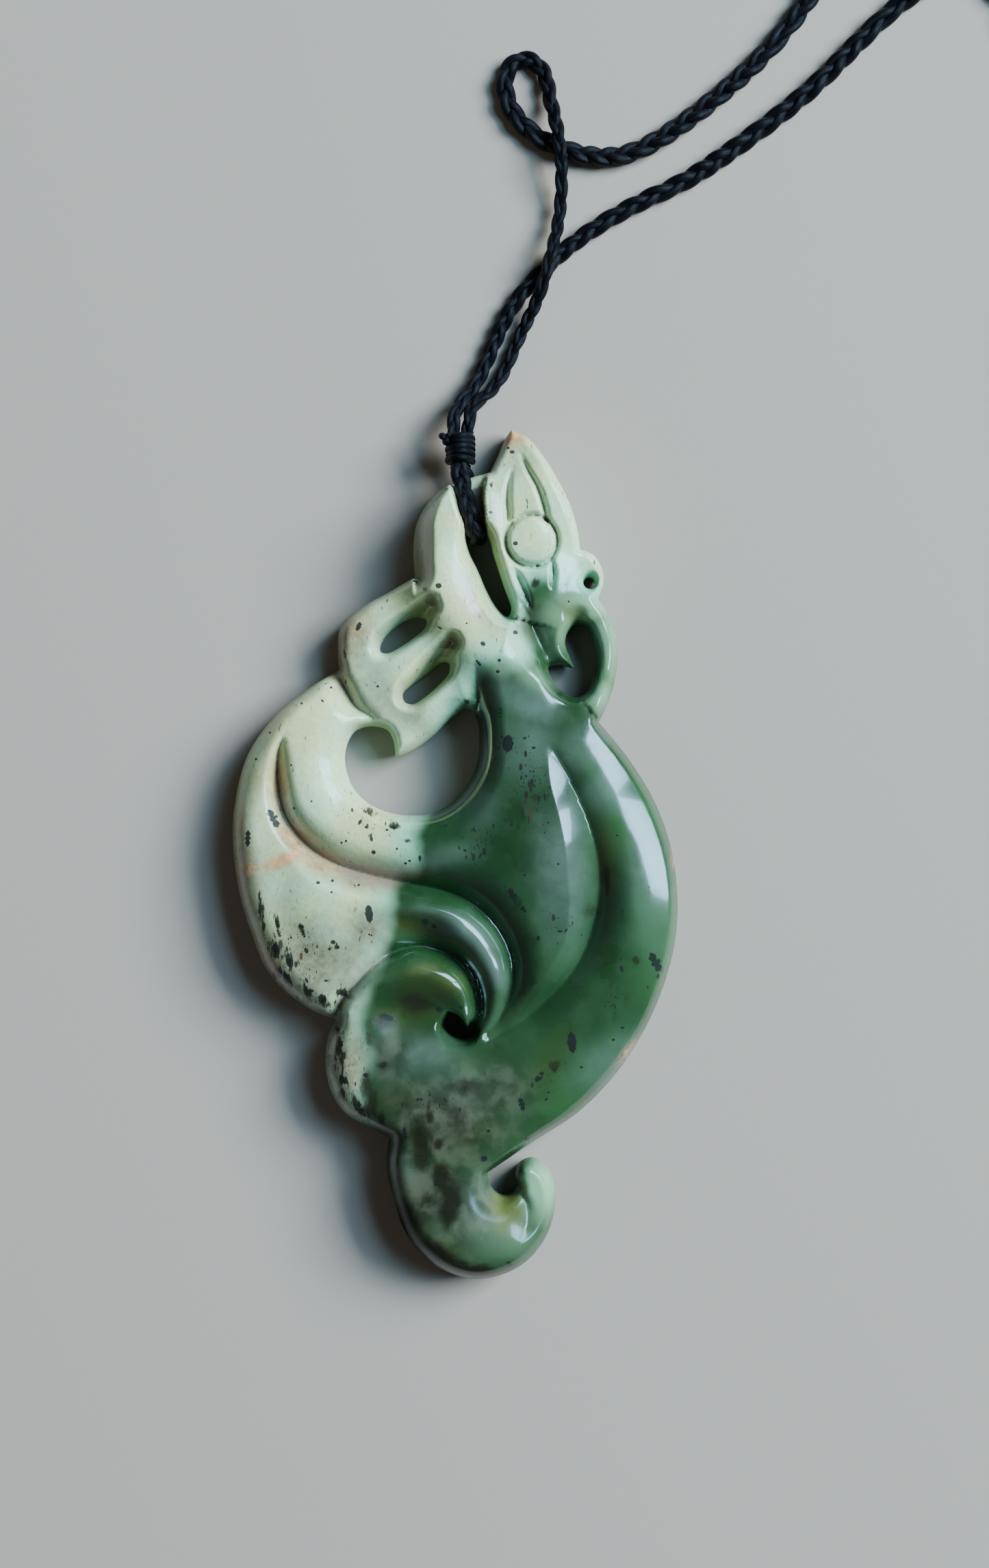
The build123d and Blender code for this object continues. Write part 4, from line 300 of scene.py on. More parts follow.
# dark spots; columns: across, up (percent), half_long, half_short (hundredths of a percent of HEIGHT),
# turn (degrees)
SPOTS = [
    (61.9, 97.6, 16, 12, 0), (62.8, 97.1, 25, 18, 0), (58, 89.7, 20, 15, 0), (57.6, 89, 15, 12, 0),
    (63.5, 86.1, 25, 20, 0), (68.5, 83.7, 20, 12, 0), (76, 89, 18, 12, 0), (74.7, 81.5, 12, 10, 0),
    (75.4, 79.5, 10, 10, 0), (43.4, 80.8, 22, 20, 0), (46.5, 81.1, 30, 25, 0), (28.5, 76.6, 45, 22, 65),
    (25.1, 73.4, 45, 20, 100), (56.3, 74.4, 26, 20, -30), (63.5, 75.8, 25, 20, 0), (52.7, 76.8, 10, 10, 0),
    (46.8, 76.3, 25, 8, -30), (55.3, 72.2, 35, 10, -50), (59.9, 72.5, 18, 15, 0), (59.6, 71.2, 20, 15, 0),
    (80, 76.3, 30, 10, 115), (21.1, 70, 12, 12, 0), (22.3, 69.5, 14, 12, 0), (20.5, 67.9, 20, 10, -40),
    (15.9, 67.6, 12, 12, 0), (25.5, 70.2, 25, 10, 100), (32.8, 69.6, 15, 12, 0), (43.8, 68.3, 20, 18, 0),
    (8.8, 64.2, 15, 12, 0), (5.7, 61.1, 12, 12, 0), (13.7, 60.4, 10, 10, 0), (9.6, 54.2, 100, 34, -62),
    (14.2, 55.4, 15, 10, -40), (4, 51.9, 80, 26, 88), (18.2, 56.2, 10, 10, 0), (29.9, 55.6, 35, 20, -30),
    (28.4, 56.4, 20, 12, -30), (34, 54.8, 40, 22, -15), (29, 53.8, 30, 15, 60), (30.3, 53.2, 12, 12, 0),
    (36.5, 53.2, 25, 18, 0), (35, 52.9, 15, 12, 0), (38.2, 54.1, 12, 12, 0), (24.9, 51.4, 12, 12, 0),
    (25.9, 51.6, 12, 12, 0), (32, 50.3, 22, 20, 0), (37.2, 50.7, 12, 12, 0), (39.1, 49, 15, 12, 0),
    (40, 49.3, 13, 12, 0), (42.3, 49.6, 30, 12, 90), (19.8, 46.8, 20, 15, 0), (22.9, 47, 14, 14, 0),
    (28.7, 46.5, 12, 12, 0), (22.8, 45.7, 12, 12, 0), (31.1, 43.2, 85, 35, 95), (43.4, 42.2, 35, 30, 0),
    (45.3, 41.7, 30, 20, -30), (31.1, 40.8, 10, 10, 0), (31.6, 40.7, 10, 10, 0), (16.1, 41.7, 25, 18, 0),
    (16.6, 40.8, 35, 12, -75), (13.7, 40.4, 12, 12, 0), (17.1, 38.9, 30, 20, 110), (23.1, 39.9, 25, 20, 0),
    (24.2, 39.3, 15, 15, 0), (22.3, 39.1, 15, 15, 0), (10.6, 42, 40, 12, -75), (11, 40.9, 40, 15, -70),
    (10.2, 39.1, 50, 30, -80), (13.3, 37.7, 35, 25, 0), (10.8, 35.9, 30, 25, 0), (12.5, 35.6, 60, 25, -70),
    (25.1, 33.8, 40, 25, -30), (21.5, 35.4, 20, 10, 0), (17.2, 35.4, 25, 12, -60), (18.2, 34.2, 25, 15, 0),
    (21.1, 33.2, 30, 15, 60), (17.5, 33, 30, 20, 0), (61.8, 62.9, 80, 50, 90), (60.1, 66.4, 50, 10, 85),
    (65.5, 63.5, 20, 10, 0), (67.5, 62.4, 20, 12, 0), (72.9, 58.2, 20, 14, 80), (62.6, 53.5, 13, 13, 0),
    (65.5, 47.7, 12, 12, 0), (58.3, 47.5, 12, 12, 0), (63.1, 45.2, 100, 28, -60), (65, 43.9, 60, 20, -50),
    (68.5, 40.4, 25, 15, 80), (73.4, 41.2, 20, 10, 0), (74.7, 41.3, 20, 10, 60), (87.2, 43.4, 35, 8, 100),
    (94.6, 37.5, 110, 40, -60), (95.2, 35.9, 30, 15, 80), (87, 36.8, 30, 18, 100), (86.9, 37.9, 12, 12, 0),
    (92.8, 34.7, 10, 10, 0), (85.9, 52.3, 10, 10, 0), (93.1, 46.3, 12, 12, 0), (47.1, 54.7, 35, 20, 0),
    (48, 53.4, 20, 15, 0), (52.4, 50.5, 12, 12, 0), (55.7, 49.9, 30, 10, 60), (61.6, 50.6, 20, 8, 80),
    (72.9, 49, 10, 10, 0), (39.9, 33.5, 20, 15, 0), (41.5, 33.7, 15, 12, 0), (46.5, 32, 35, 20, 0),
    (51.4, 32.2, 20, 15, 0), (54.3, 28.4, 35, 30, 0), (35.3, 31, 50, 25, -20), (41.9, 21.7, 18, 15, 0),
    (44.5, 22.2, 12, 12, 0), (42.6, 21.7, 15, 12, 0), (48.1, 21.5, 12, 12, 0), (39, 17.7, 60, 18, -80),
    (30.2, 24.4, 25, 20, 0), (57.5, 18, 18, 15, 0), (56.6, 14.8, 30, 25, 0), (66, 16.9, 25, 20, 0),
    (64.9, 21.1, 65, 25, -75), (68.7, 24.2, 50, 25, 40), (69.3, 24.7, 25, 15, 0), (76, 28.3, 100, 40, -85),
    (78.1, 25.4, 15, 12, 0), (85.2, 28.6, 15, 12, 0), (92.5, 31, 25, 20, 0), (87.2, 30, 20, 10, 0),
    (76.4, 20.1, 25, 20, 0), (70.3, 21.7, 20, 10, 40), (70.8, 22.5, 15, 10, 0), (87.5, 25.5, 30, 15, 20),
    (86.6, 24.3, 15, 12, 0), (62.2, 2.3, 35, 14, -60), (63.9, 1.4, 15, 12, 0), (24.2, 29.2, 50, 20, -80),
    (24.6, 28.2, 50, 20, -75), (22.5, 25.8, 60, 15, -70), (23.4, 26.3, 30, 10, -60),
    (25.1, 23.9, 50, 20, -60), (24.8, 22, 40, 20, -70), (29.4, 20.3, 90, 20, -70),
]
SPOT_MARGIN = 1.5        # the ring where a spot has faded out, in spot sizes

EYE_GROOVE = (12, 0.9)
CORD_SEAT = [
    (52.9, 95.7, 4.6, 4.4), (53.2, 94, 4.3, 4.8), (53.8, 91.6, 3, 4.2), (54.5, 89.6, 2.5, 3.7),
    (55.2, 87.6, 2.2, 2.6)]
SEAT_FLOOR = 0.75
CHANNEL_RUN_OUT = 0.3    # how far the channel in the back goes on past the web, as a share of its length

# columns: across, up (percent), half_across, half_up (percent of WIDTH), turn (degrees),
# rise (percent of THICKNESS)
SWELLINGS = [
    (42.5, 41.6, 10, 4.6, 0, -14), (41, 31.6, 13.5, 9.5, 10, -14), (71.5, 50, 9, 24, 0, 2),
    (57.5, 10.2, 7, 7, 0, -4), (77, 77.9, 3.4, 3, 20, -7), (52.3, 9.5, 12, 14, 0, 6),
]

# columns: across, up (percent), level (0 on the back's level, 1 on the front's)
BECKET_ROUTE = [(51.6, 93, 1), (55, 86.8, 1), (55, 86.8, 0), (52.7, 93.4, 0)]

# columns: right, up (mm from the whipping's end), z (mm above the surface, CORD_LYING where none is given)
CORD_ROUTE = [
    (1.6, 3.6, 2.55), (3.3, 4.9, 1.5), (4.9, 7.2, 0.9), (6, 9.9), (7.25, 12.6, 0.95), (8.6, 15.2, 1.7),
    (9.5, 17.6, 2.6), (10.3, 20.8, 2.6), (11, 23.8, 1.5), (11.4, 27, 1.3), (11.4, 30.7, 2.55),
    (10.9, 34.8, 2.55), (10.1, 38.2, 1.1), (9.6, 41.5), (7.4, 43.2), (5.1, 41.8), (5, 38.8), (6.1, 36.4),
    (8.1, 34.4), (11, 32.8), (14.4, 31.8), (17.9, 31.7), (21.3, 33), (25.2, 35.5), (29.4, 38.8),
    (33.5, 42.4), (37.3, 46.6), (41.4, 52.6), (47.4, 60.4), (54.8, 68.4), (63.4, 74.8), (73.4, 78.6),
    (82.8, 76), (89, 67.6), (91.4, 54), (91.2, 35), (90.4, 15), (91, -6), (90.4, -27), (90.8, -48),
    (90.4, -68), (88.4, -85), (81.8, -95.6), (72.4, -95.8), (65.6, -86), (63.9, -70), (64.1, -51),
    (63.4, -31), (64, -10), (63.5, 10), (64.3, 26), (64.6, 38), (64, 46), (61.2, 51.4), (56.8, 53.2),
    (52.6, 51.2), (48.6, 48.2), (44.6, 44.3), (40.3, 39.9), (35.4, 35.9), (30.6, 32.4), (25.6, 29),
    (20.4, 26.7), (15.7, 24.1), (11.7, 21.2), (8.3, 17.9), (5.6, 14.6), (3.9, 11), (2.6, 7.7, 0.95),
    (1.2, 5, 1.7), (-0.25, 3.4, 2.65),
]
CORD_LYING = 0.85

# fineness of the stone's mesh
CURVE_STEPS = 10
EDGE_STEP = 0.24
FACE_STEP = 0.235
CREASE_STEP = FACE_STEP * 0.8
FACE_ROWS = (0.03, 0.11, 0.24, 0.42, 0.62)
BACK_STEP = 0.9
BACK_ROWS = (0.1, 0.3, 0.6, 0.95)
BACK_ROUNDING = 0.9
BACK_FINE_REACH = 6.0

# tints
PATCH_FALL = 1.4
PATCH_SHAPE = 1.3
HOLLOW_FROM = 1.5        # how far inside the edge the painted shade in the hollows begins
DULL_EDGE = 0.7


def place(across, up):
    """Percent of the width and height to millimetres from the middle of the stone."""
    return (across / 100 - 0.5) * WIDTH, (up / 100 - 0.5) * HEIGHT


def in_millimetres(rows):
    return [(*place(row[0], row[1]), *row[2:]) for row in rows]


def wide(percent):
    return percent / 100 * WIDTH


def tall(percent):
    return percent / 100 * THICKNESS


def smooth_line(rows, steps=CURVE_STEPS):
    """A smooth line through rows of x and y, which carries any other columns along."""
    rows = np.array(rows, float)
    if len(rows) < 3:
        return rows
    closed = np.allclose(rows[0, :2], rows[-1, :2])
    before = rows[-2] if closed else 2 * rows[0] - rows[1]
    after = rows[1] if closed else 2 * rows[-1] - rows[-2]
    knots = np.vstack([before, rows, after])
    line = []
    for a, b, c, d in zip(knots, knots[1:], knots[2:], knots[3:]):
        ab, bc, cd = (math.sqrt(math.dist(p[:2], q[:2])) for p, q in ((a, b), (b, c), (c, d)))
        leave = (b - a) / ab - (c - a) / (ab + bc) + (c - b) / bc
        reach = (c - b) / bc - (d - b) / (bc + cd) + (d - c) / cd
        for t in np.arange(steps) / steps:
            line.append((2 * t**3 - 3 * t**2 + 1) * b + (3 * t**2 - 2 * t**3) * c
                        + (t**3 - 2 * t**2 + t) * leave * bc + (t**3 - t**2) * reach * bc)
    return np.vstack([line, rows[-1]])


def even_points(line, step):
    """A line's points at equal distances of about one step, with both ends, and how far along each is."""
    lengths = np.linalg.norm(np.diff(line, axis=0), axis=1)
    along = np.concatenate([[0], np.cumsum(lengths)])
    stops = np.linspace(0, along[-1], max(1, round(along[-1] / step)) + 1)
    return np.column_stack([np.interp(stops, along, column) for column in line.T]), stops


def outlines(step):
    """The stone's outer loop and the loops of its openings, each with the stone on its right."""
    loops = []
    for stretches in (OUTLINE.values(), *OPENINGS.values()):
        parts = [even_points(smooth_line(in_millimetres(rows)), step)[0][:-1] for rows in stretches]
        loops.append(np.vstack(parts))
    x, y = place(*EAR_HOLE)
    turns = np.linspace(0, 2 * math.pi, 24, endpoint=False)
    loops.append(np.column_stack([x + EAR_HOLE_RADIUS * np.cos(turns), y + EAR_HOLE_RADIUS * np.sin(turns)]))
    for k, loop in enumerate(loops):
        x, y = loop.T
        counterclockwise = (x * np.roll(y, -1) - np.roll(x, -1) * y).sum() > 0
        if counterclockwise == (k == 0):
            loops[k] = loop[::-1]
    return loops


def along_line(points, line):
    """Distance of points to an open line, whether they lie on its left, and its other columns there."""
    nearest = np.full(len(points), np.inf)
    left = np.zeros(len(points), bool)
    carried = np.zeros((len(points), line.shape[1] - 2))
    for a, b in zip(line, line[1:]):
        run = (b - a)[:2]
        share = np.clip((points - a[:2]) @ run / (run @ run), 0, 1)
        gap = points - a[:2] - share[:, None] * run
        distance = np.hypot(gap[:, 0], gap[:, 1])
        closer = distance < nearest
        nearest[closer] = distance[closer]
        left[closer] = run[0] * gap[closer, 1] > run[1] * gap[closer, 0]
        carried[closer] = a[2:] + share[closer, None] * (b - a)[2:]
    return nearest, left, carried.T


def flank(share, shape, floor=0.0):
    """How deep a cut is, at a share of its flank's width from its line."""
    rest = np.clip((1 - share) / (1 - floor), 0, 1)
    if shape != ROUND:
        return rest**shape
    return (1 - np.sqrt(1 - (ROUND_SHARE * rest) ** 2)) / (1 - math.sqrt(1 - ROUND_SHARE**2))


def blank(points):
    """Thickness of the stone before it is carved, and the width of its rounded edge."""
    weights = np.zeros(len(points))
    thickness = np.zeros(len(points))
    rounding = np.zeros(len(points))
    for across, up, thick, rounded in STATIONS:
        gap = points - np.array(place(across, up))
        weight = 1 / ((gap**2).sum(axis=1) + wide(STATION_REACH) ** 2) ** 2
        weights += weight
        thickness += weight * tall(thick)
        rounding += weight * wide(rounded)
    return thickness / weights, rounding / weights


def oval_share(points, across, up, half_across, half_up, turn):
    """Square of the distance from an oval's middle, 1 on the oval."""
    gap = points - np.array(place(across, up))
    c, s = math.cos(math.radians(turn)), math.sin(math.radians(turn))
    u = (gap[:, 0] * c + gap[:, 1] * s) / wide(half_across)
    v = (gap[:, 1] * c - gap[:, 0] * s) / wide(half_up)
    return u * u + v * v


def carve(points, face):
    """Cut the hollows, grooves, bevels, seat and eye into the face, in place."""
    for *oval, rise in SWELLINGS:
        face += tall(rise) * np.clip(1 - oval_share(points, *oval), 0, None) ** 2
    for left_shape, right_shape, rows in CUTS.values():
        line = smooth_line(in_millimetres(rows))
        reach = wide(max(max(row[3:]) for row in rows))
        near = np.all((points > line[:, :2].min(axis=0) - reach) & (points < line[:, :2].max(axis=0) + reach),
                      axis=1)
        distance, left, (deep, left_flank, right_flank) = along_line(points[near], line)
        face[near] -= tall(deep) * np.where(left, flank(distance / wide(left_flank), left_shape),
                                            flank(distance / wide(right_flank), right_shape))
    from_eye = np.hypot(*(points - np.array(place(*EYE))).T)
    face -= tall(EYE_GROOVE[0]) * flank(np.abs(from_eye - EYE_RADIUS) / wide(EYE_GROOVE[1]), 1.2)
    face += EYE_RISE * np.sqrt(np.clip(1 - (from_eye / EYE_RADIUS) ** 2, 0, None))
    distance, left, (left_half, right_half) = along_line(points, smooth_line(in_millimetres(CORD_SEAT)))
    level = flank(distance / wide(np.where(left, left_half, right_half)), 1.0, SEAT_FLOOR)
    face += level * np.minimum(WEB_FRONT - face, 0)


def heights(points, inside):
    """Heights of the carved face and of the back, which meet at the waist of the rounded edge."""
    face, rounding = blank(points)
    carve(points, face)
    waist = WAIST * face
    rise = np.sqrt(1 - (1 - np.clip(inside / rounding, 0, 1)) ** 2)
    fall = np.sqrt(1 - (1 - np.clip(inside / BACK_ROUNDING, 0, 1)) ** 2)
    back = waist * (1 - fall)
    return waist + (face - waist) * rise, np.maximum(back, channel(points))


def channel(points):
    """Height of the channel in the back that the becket lies in."""
    radius = BECKET_DIAMETER / 2 + PASSAGE_GAP
    level, _ = becket_levels()
    behind = in_millimetres([row for row in BECKET_ROUTE if row[2] == 0])
    run = np.subtract(behind[1], behind[0])
    line = np.array([behind[0], behind[1] + run * CHANNEL_RUN_OUT])
    distance, _, _ = along_line(points, line)
    return np.where(distance < radius, level + np.sqrt(np.clip(radius**2 - distance**2, 0, None)), 0)


def becket_levels():
    """Heights of the becket's middle line behind the web and in front of it."""
    return SEAT_GAP + BECKET_DIAMETER / 2, WEB_FRONT + SEAT_GAP + BECKET_DIAMETER / 2


def whipping_foot():
    """Middle of the whipping's lower end, in millimetres."""
    seat, edge = place(CORD_SEAT[0][0], OUTLINE["web"][1][1])
    back, front = becket_levels()
    return np.array([seat - WHIPPING_ASIDE, edge + WHIPPING_ABOVE_WEB, (back + front) / 2])


def grid_inside(loops, step):
    """Points in staggered rows that lie in the stone."""
    starts = np.vstack(loops)
    ends = np.vstack([np.roll(loop, -1, axis=0) for loop in loops])
    rows = []
    low, high = starts.min(axis=0), starts.max(axis=0)
    for k, y in enumerate(np.arange(low[1] + step / 3, high[1], step * math.sqrt(0.75))):
        spans = (starts[:, 1] > y) != (ends[:, 1] > y)
        a, b = starts[spans], ends[spans]
        crossings = np.sort(a[:, 0] + (y - a[:, 1]) / (b[:, 1] - a[:, 1]) * (b[:, 0] - a[:, 0]))
        x = np.arange(low[0] + (k % 2) * step / 2, high[0], step)
        x = x[np.searchsorted(crossings, x) % 2 == 1]
        rows.append(np.column_stack([x, np.full(len(x), y)]))
    return np.vstack(rows)


def in_stone(points, loops):
    crossings = np.zeros(len(points), int)
    for loop in loops:
        for a, b in zip(loop, np.roll(loop, -1, axis=0)):
            if a[1] != b[1]:
                spans = (a[1] > points[:, 1]) != (b[1] > points[:, 1])
                crossings += spans & (points[:, 0] < a[0] + (points[:, 1] - a[1]) / (b - a)[1] * (b - a)[0])
    return crossings % 2 == 1


def tree_of(points):
    tree = kdtree.KDTree(len(points))
    for k, point in enumerate(points):
        tree.insert((point[0], point[1], 0), k)
    tree.balance()
    return tree


def nearest_distance(points, tree):
    return np.array([tree.find((x, y, 0))[2] for x, y in points])


def rim_points(loops, offsets, edge_tree):
    """Rows of points that follow the outline inside it, and how far inside each lies."""
    points, inside = [], []
    for offset in offsets:
        for loop in loops:
            run = np.roll(loop, -1, axis=0) - np.roll(loop, 1, axis=0)
            normal = np.column_stack([run[:, 1], -run[:, 0]]) / np.linalg.norm(run, axis=1)[:, None]
            row = loop + offset * normal
            good = nearest_distance(row, edge_tree) > offset * 0.97
            points.append(row[good])
            inside.append(np.full(good.sum(), offset))
    return points, inside


def oval_ring(across, up, half_long, half_short, turn, size, count):
    x, y = place(across, up)
    angles = np.linspace(0, 2 * math.pi, count, endpoint=False)
    u = half_long / 10000 * HEIGHT * size * np.cos(angles)
    v = half_short / 10000 * HEIGHT * size * np.sin(angles)
    c, s = math.cos(math.radians(turn)), math.sin(math.radians(turn))
    return np.column_stack([x + c * u - s * v, y + s * u + c * v])


def face_points(loops, edge_tree):
    """Points of the face inside the outline, how far inside each lies, and which are in a dark spot."""
    points, inside = rim_points(loops, FACE_ROWS, edge_tree)
    dark = [np.zeros(len(row)) for row in points]
    creases = np.vstack([even_points(smooth_line(in_millimetres(rows))[:, :2], CREASE_STEP)[0]
                         for _, _, rows in CUTS.values()])
    spots = [oval_ring(*spot, size, count) for spot in SPOTS for size, count in ((0, 1), (1, 8))]
    rings = np.vstack([oval_ring(*spot, SPOT_MARGIN, 10) for spot in SPOTS])
    spots = np.vstack(spots)
    fixed = []
    for row, tone in ((creases, 0), (spots, 1), (rings, 0)):
        row = row[in_stone(row, loops)]
        distance = nearest_distance(row, edge_tree)
        good = distance > FACE_ROWS[-1] + 0.1
        points.append(row[good])
        inside.append(distance[good])
        dark.append(np.full(good.sum(), tone))
        fixed.append(row[good])
    fixed_tree = tree_of(np.vstack(fixed))
    grid = grid_inside(loops, FACE_STEP)
    distance = nearest_distance(grid, edge_tree)
    good = (distance > FACE_ROWS[-1] + FACE_STEP / 2) & (nearest_distance(grid, fixed_tree) > FACE_STEP / 2)
    margin = SPOT_MARGIN / 100 * HEIGHT / WIDTH
    for across, up, half_long, half_short, turn in SPOTS:
        good &= oval_share(grid, across, up, margin * half_long, margin * half_short, turn) > 1
    points.append(grid[good])
    inside.append(distance[good])
    dark.append(np.zeros(good.sum()))
    return np.vstack(points), np.concatenate(inside), np.concatenate(dark)


def back_points(loops, edge_tree):
    points, inside = rim_points(loops, BACK_ROWS, edge_tree)
    grid = grid_inside(loops, BACK_STEP)
    x, y = in_millimetres(BECKET_ROUTE)[3][:2]
    fine = grid_inside(loops, BACK_STEP / 4)
    grid = np.vstack([grid, fine[np.hypot(*(fine - (x, y)).T) < BACK_FINE_REACH]])
    distance = nearest_distance(grid, edge_tree)
    good = distance > BACK_ROWS[-1] + 0.2
    points.append(grid[good])
    inside.append(distance[good])
    return np.vstack(points), np.concatenate(inside)


def triangulate(loops, points):
    """Triangles over the outline's points and those inside it, counterclockwise from above."""
    edges = []
    start = 0
    for loop in loops:
        ring = list(range(start, start + len(loop)))
        edges += zip(ring, ring[1:] + ring[:1])
        start += len(loop)
    every = np.vstack([*loops, points])
    flat, _, triangles, origin, _, _ = delaunay_2d_cdt([Vector(p) for p in every], edges, [], 0, 1e-6)
    first = np.array([o[0] for o in origin])
    triangles = first[np.array(triangles)]
    doubtful = (triangles < start).all(axis=1)
    keep = np.ones(len(triangles), bool)
    keep[doubtful] = in_stone(every[triangles[doubtful]].mean(axis=1), loops)
    triangles = triangles[keep]
    a, b, c = (every[triangles[:, k]] for k in range(3))
    turned = (b - a)[:, 0] * (c - a)[:, 1] < (b - a)[:, 1] * (c - a)[:, 0]
    triangles[turned] = triangles[turned][:, ::-1]
    return triangles


def mesh_object(name, vertices, faces, smooth=True):
    mesh = bpy.data.meshes.new(name)
    mesh.from_pydata(vertices, [], faces)
    mesh.update()
    if smooth:
        mesh.shade_smooth()
    piece = bpy.data.objects.new(name, mesh)
    bpy.context.scene.collection.objects.link(piece)
    return piece


def tint_levels(points):
    """How strong each kind of patch is at the points, and the way into the pale stone in millimetres."""
    levels = {}
    for name, ovals in TINTS.items():
        level = np.zeros(len(points))
        for *oval, strength in ovals:
            share = oval_share(points, *oval)
            level = np.maximum(level, strength * np.exp(-PATCH_FALL * share**PATCH_SHAPE))
        levels[name] = level
    line = smooth_line(in_millimetres(COLOUR_LINE), 4)
    distance, left, _ = along_line(points, line)
    levels["pale"] = np.where(left, -distance, distance)
    return levels


def carved_stone():
    """The stone: a finely divided face and a plainer back, which meet at the waist of the edge."""
    loops = outlines(EDGE_STEP)
    edge = np.vstack(loops)
    edge_tree = tree_of(edge)
    front, front_inside, dark = face_points(loops, edge_tree)
    behind, behind_inside = back_points(loops, edge_tree)
    over = triangulate(loops, front)
    under = triangulate(loops, behind)
    flat = np.vstack([edge, front])
    inside = np.concatenate([np.zeros(len(edge)), front_inside])
    face, _ = heights(flat, inside)
    _, back = heights(behind, behind_inside)
    vertices = np.vstack([np.column_stack([flat, face]), np.column_stack([behind, back])])
    under = np.where(under < len(edge), under, under + len(front))
    faces = np.vstack([over, under[:, ::-1]])
    piece = mesh_object("carved_stone", (vertices * MM).tolist(), faces.tolist())
    blank_face, _ = blank(flat)
    # how deep the carving goes; it sets the painted shade in the hollows
    hollow = np.clip(blank_face - face, 0, 4) * (inside > HOLLOW_FROM)
    levels = tint_levels(vertices[:, :2])
    for name, level in (
            ("hollow", hollow), ("edge", np.clip(1 - inside / DULL_EDGE, 0, 1)),
            ("spot", np.concatenate([np.zeros(len(edge)), dark]))):
        levels[name] = np.concatenate([level, np.zeros(len(behind))])
    for name, level in levels.items():
        layer = piece.data.attributes.new(name, "FLOAT", "POINT")
        layer.data.foreach_set("value", level.astype(np.float32))
    return piece


def spline_line(points):
    """The smooth line of a cord, in metres: points along a NURBS curve over its route."""
    curve = bpy.data.curves.new("guide", "CURVE")
    curve.dimensions = "3D"
    spline = curve.splines.new("NURBS")
    spline.points.add(len(points) - 1)
    for slot, point in zip(spline.points, points):
        slot.co = (*(np.array(point) * MM), 1.0)
    spline.order_u = 3
    spline.use_endpoint_u = True
    curve.resolution_u = 12
    guide = bpy.data.objects.new("guide", curve)
    bpy.context.scene.collection.objects.link(guide)
    bpy.context.view_layer.update()
    mesh = bpy.data.meshes.new_from_object(guide.evaluated_get(bpy.context.evaluated_depsgraph_get()))
    line = np.array([v.co for v in mesh.vertices])
    bpy.data.objects.remove(guide)
    return line


def neck_cord_points():
    top = whipping_foot() + np.array([0, WHIPPING_LONG, 0])
    half = np.array([CORD_DIAMETER / 2 + STRAND_GAP / 2, 0, 0])
    stub = np.array([0, STRAND_STUB, 0])
    route = [(top[0] + right, top[1] + up, *(z or [CORD_LYING])) for right, up, *z in CORD_ROUTE]
    return [top + half, top + half + stub, *route, top - half + stub, top - half]


def becket_points():
    back, front = becket_levels()
    foot = whipping_foot()
    half = BECKET_DIAMETER / 2 + STRAND_GAP / 2
    end = np.array([BECKET_SPLAY, 0, -half])
    route = [np.array([*place(across, up), back + level * (front - back)])
             for across, up, level in BECKET_ROUTE]
    return [foot - end, *route, foot + end]


def unit(vectors):
    return vectors / np.linalg.norm(vectors, axis=-1, keepdims=True)


def carried_frames(line, first_normal):
    """Two directions across the line at each point, carried along it without twist."""
    tangents = unit(np.gradient(line, axis=0))
    normal = np.array(first_normal, float)
    normals = []
    for tangent in tangents:
        normal = normal - tangent * (normal @ tangent)
        normal /= np.linalg.norm(normal)
        normals.append(normal)
    normals = np.array(normals)
    return normals, np.cross(tangents, normals)


def strand_rings(centres, normals, radius, sides, squash=1.0):
    """Ring points of a strand round its centre line; radius may change along it."""
    tangents = unit(np.gradient(centres, axis=0))
    up = unit(normals - tangents * (normals * tangents).sum(axis=1, keepdims=True))
    side = np.cross(tangents, up)
    turns = np.linspace(0, 2 * math.pi, sides, endpoint=False)
    radius = np.broadcast_to(radius, len(centres))[:, None, None]
    ring = (np.cos(turns)[None, :, None] * side[:, None, :]
            + squash * np.sin(turns)[None, :, None] * up[:, None, :])
    return (centres[:, None, :] + radius * ring).reshape(-1, 3)


def tubes_object(name, tubes):
    """One piece of open tubes, each given by its rings of points, their sides and their places along it.

    Its map runs round each tube and along it, in millimetres.
    """
    vertices, faces, places = [], [], []
    base = 0
    for rings, sides, along in tubes:
        for k in range(base, base + len(rings) - sides, sides):
            for j in range(sides):
                a, b = k + j, k + (j + 1) % sides
                faces.append((a, b, b + sides, a + sides))
        base += len(rings)
        vertices.append(rings)
        around = np.tile(np.arange(sides) / sides, len(along))
        places.append(np.column_stack([around, np.repeat(along, sides)]))
    piece = mesh_object(name, np.vstack(vertices).tolist(), faces)
    corners = np.vstack(places)[np.array(faces)]
    around = corners[:, :, 0]
    seam = np.ptp(around, axis=1) > 0.5
    around[seam[:, None] & (around < 0.5)] += 1
    layer = piece.data.uv_layers.new(name="strand")
    layer.data.foreach_set("uv", corners.astype(np.float32).ravel())
    return piece


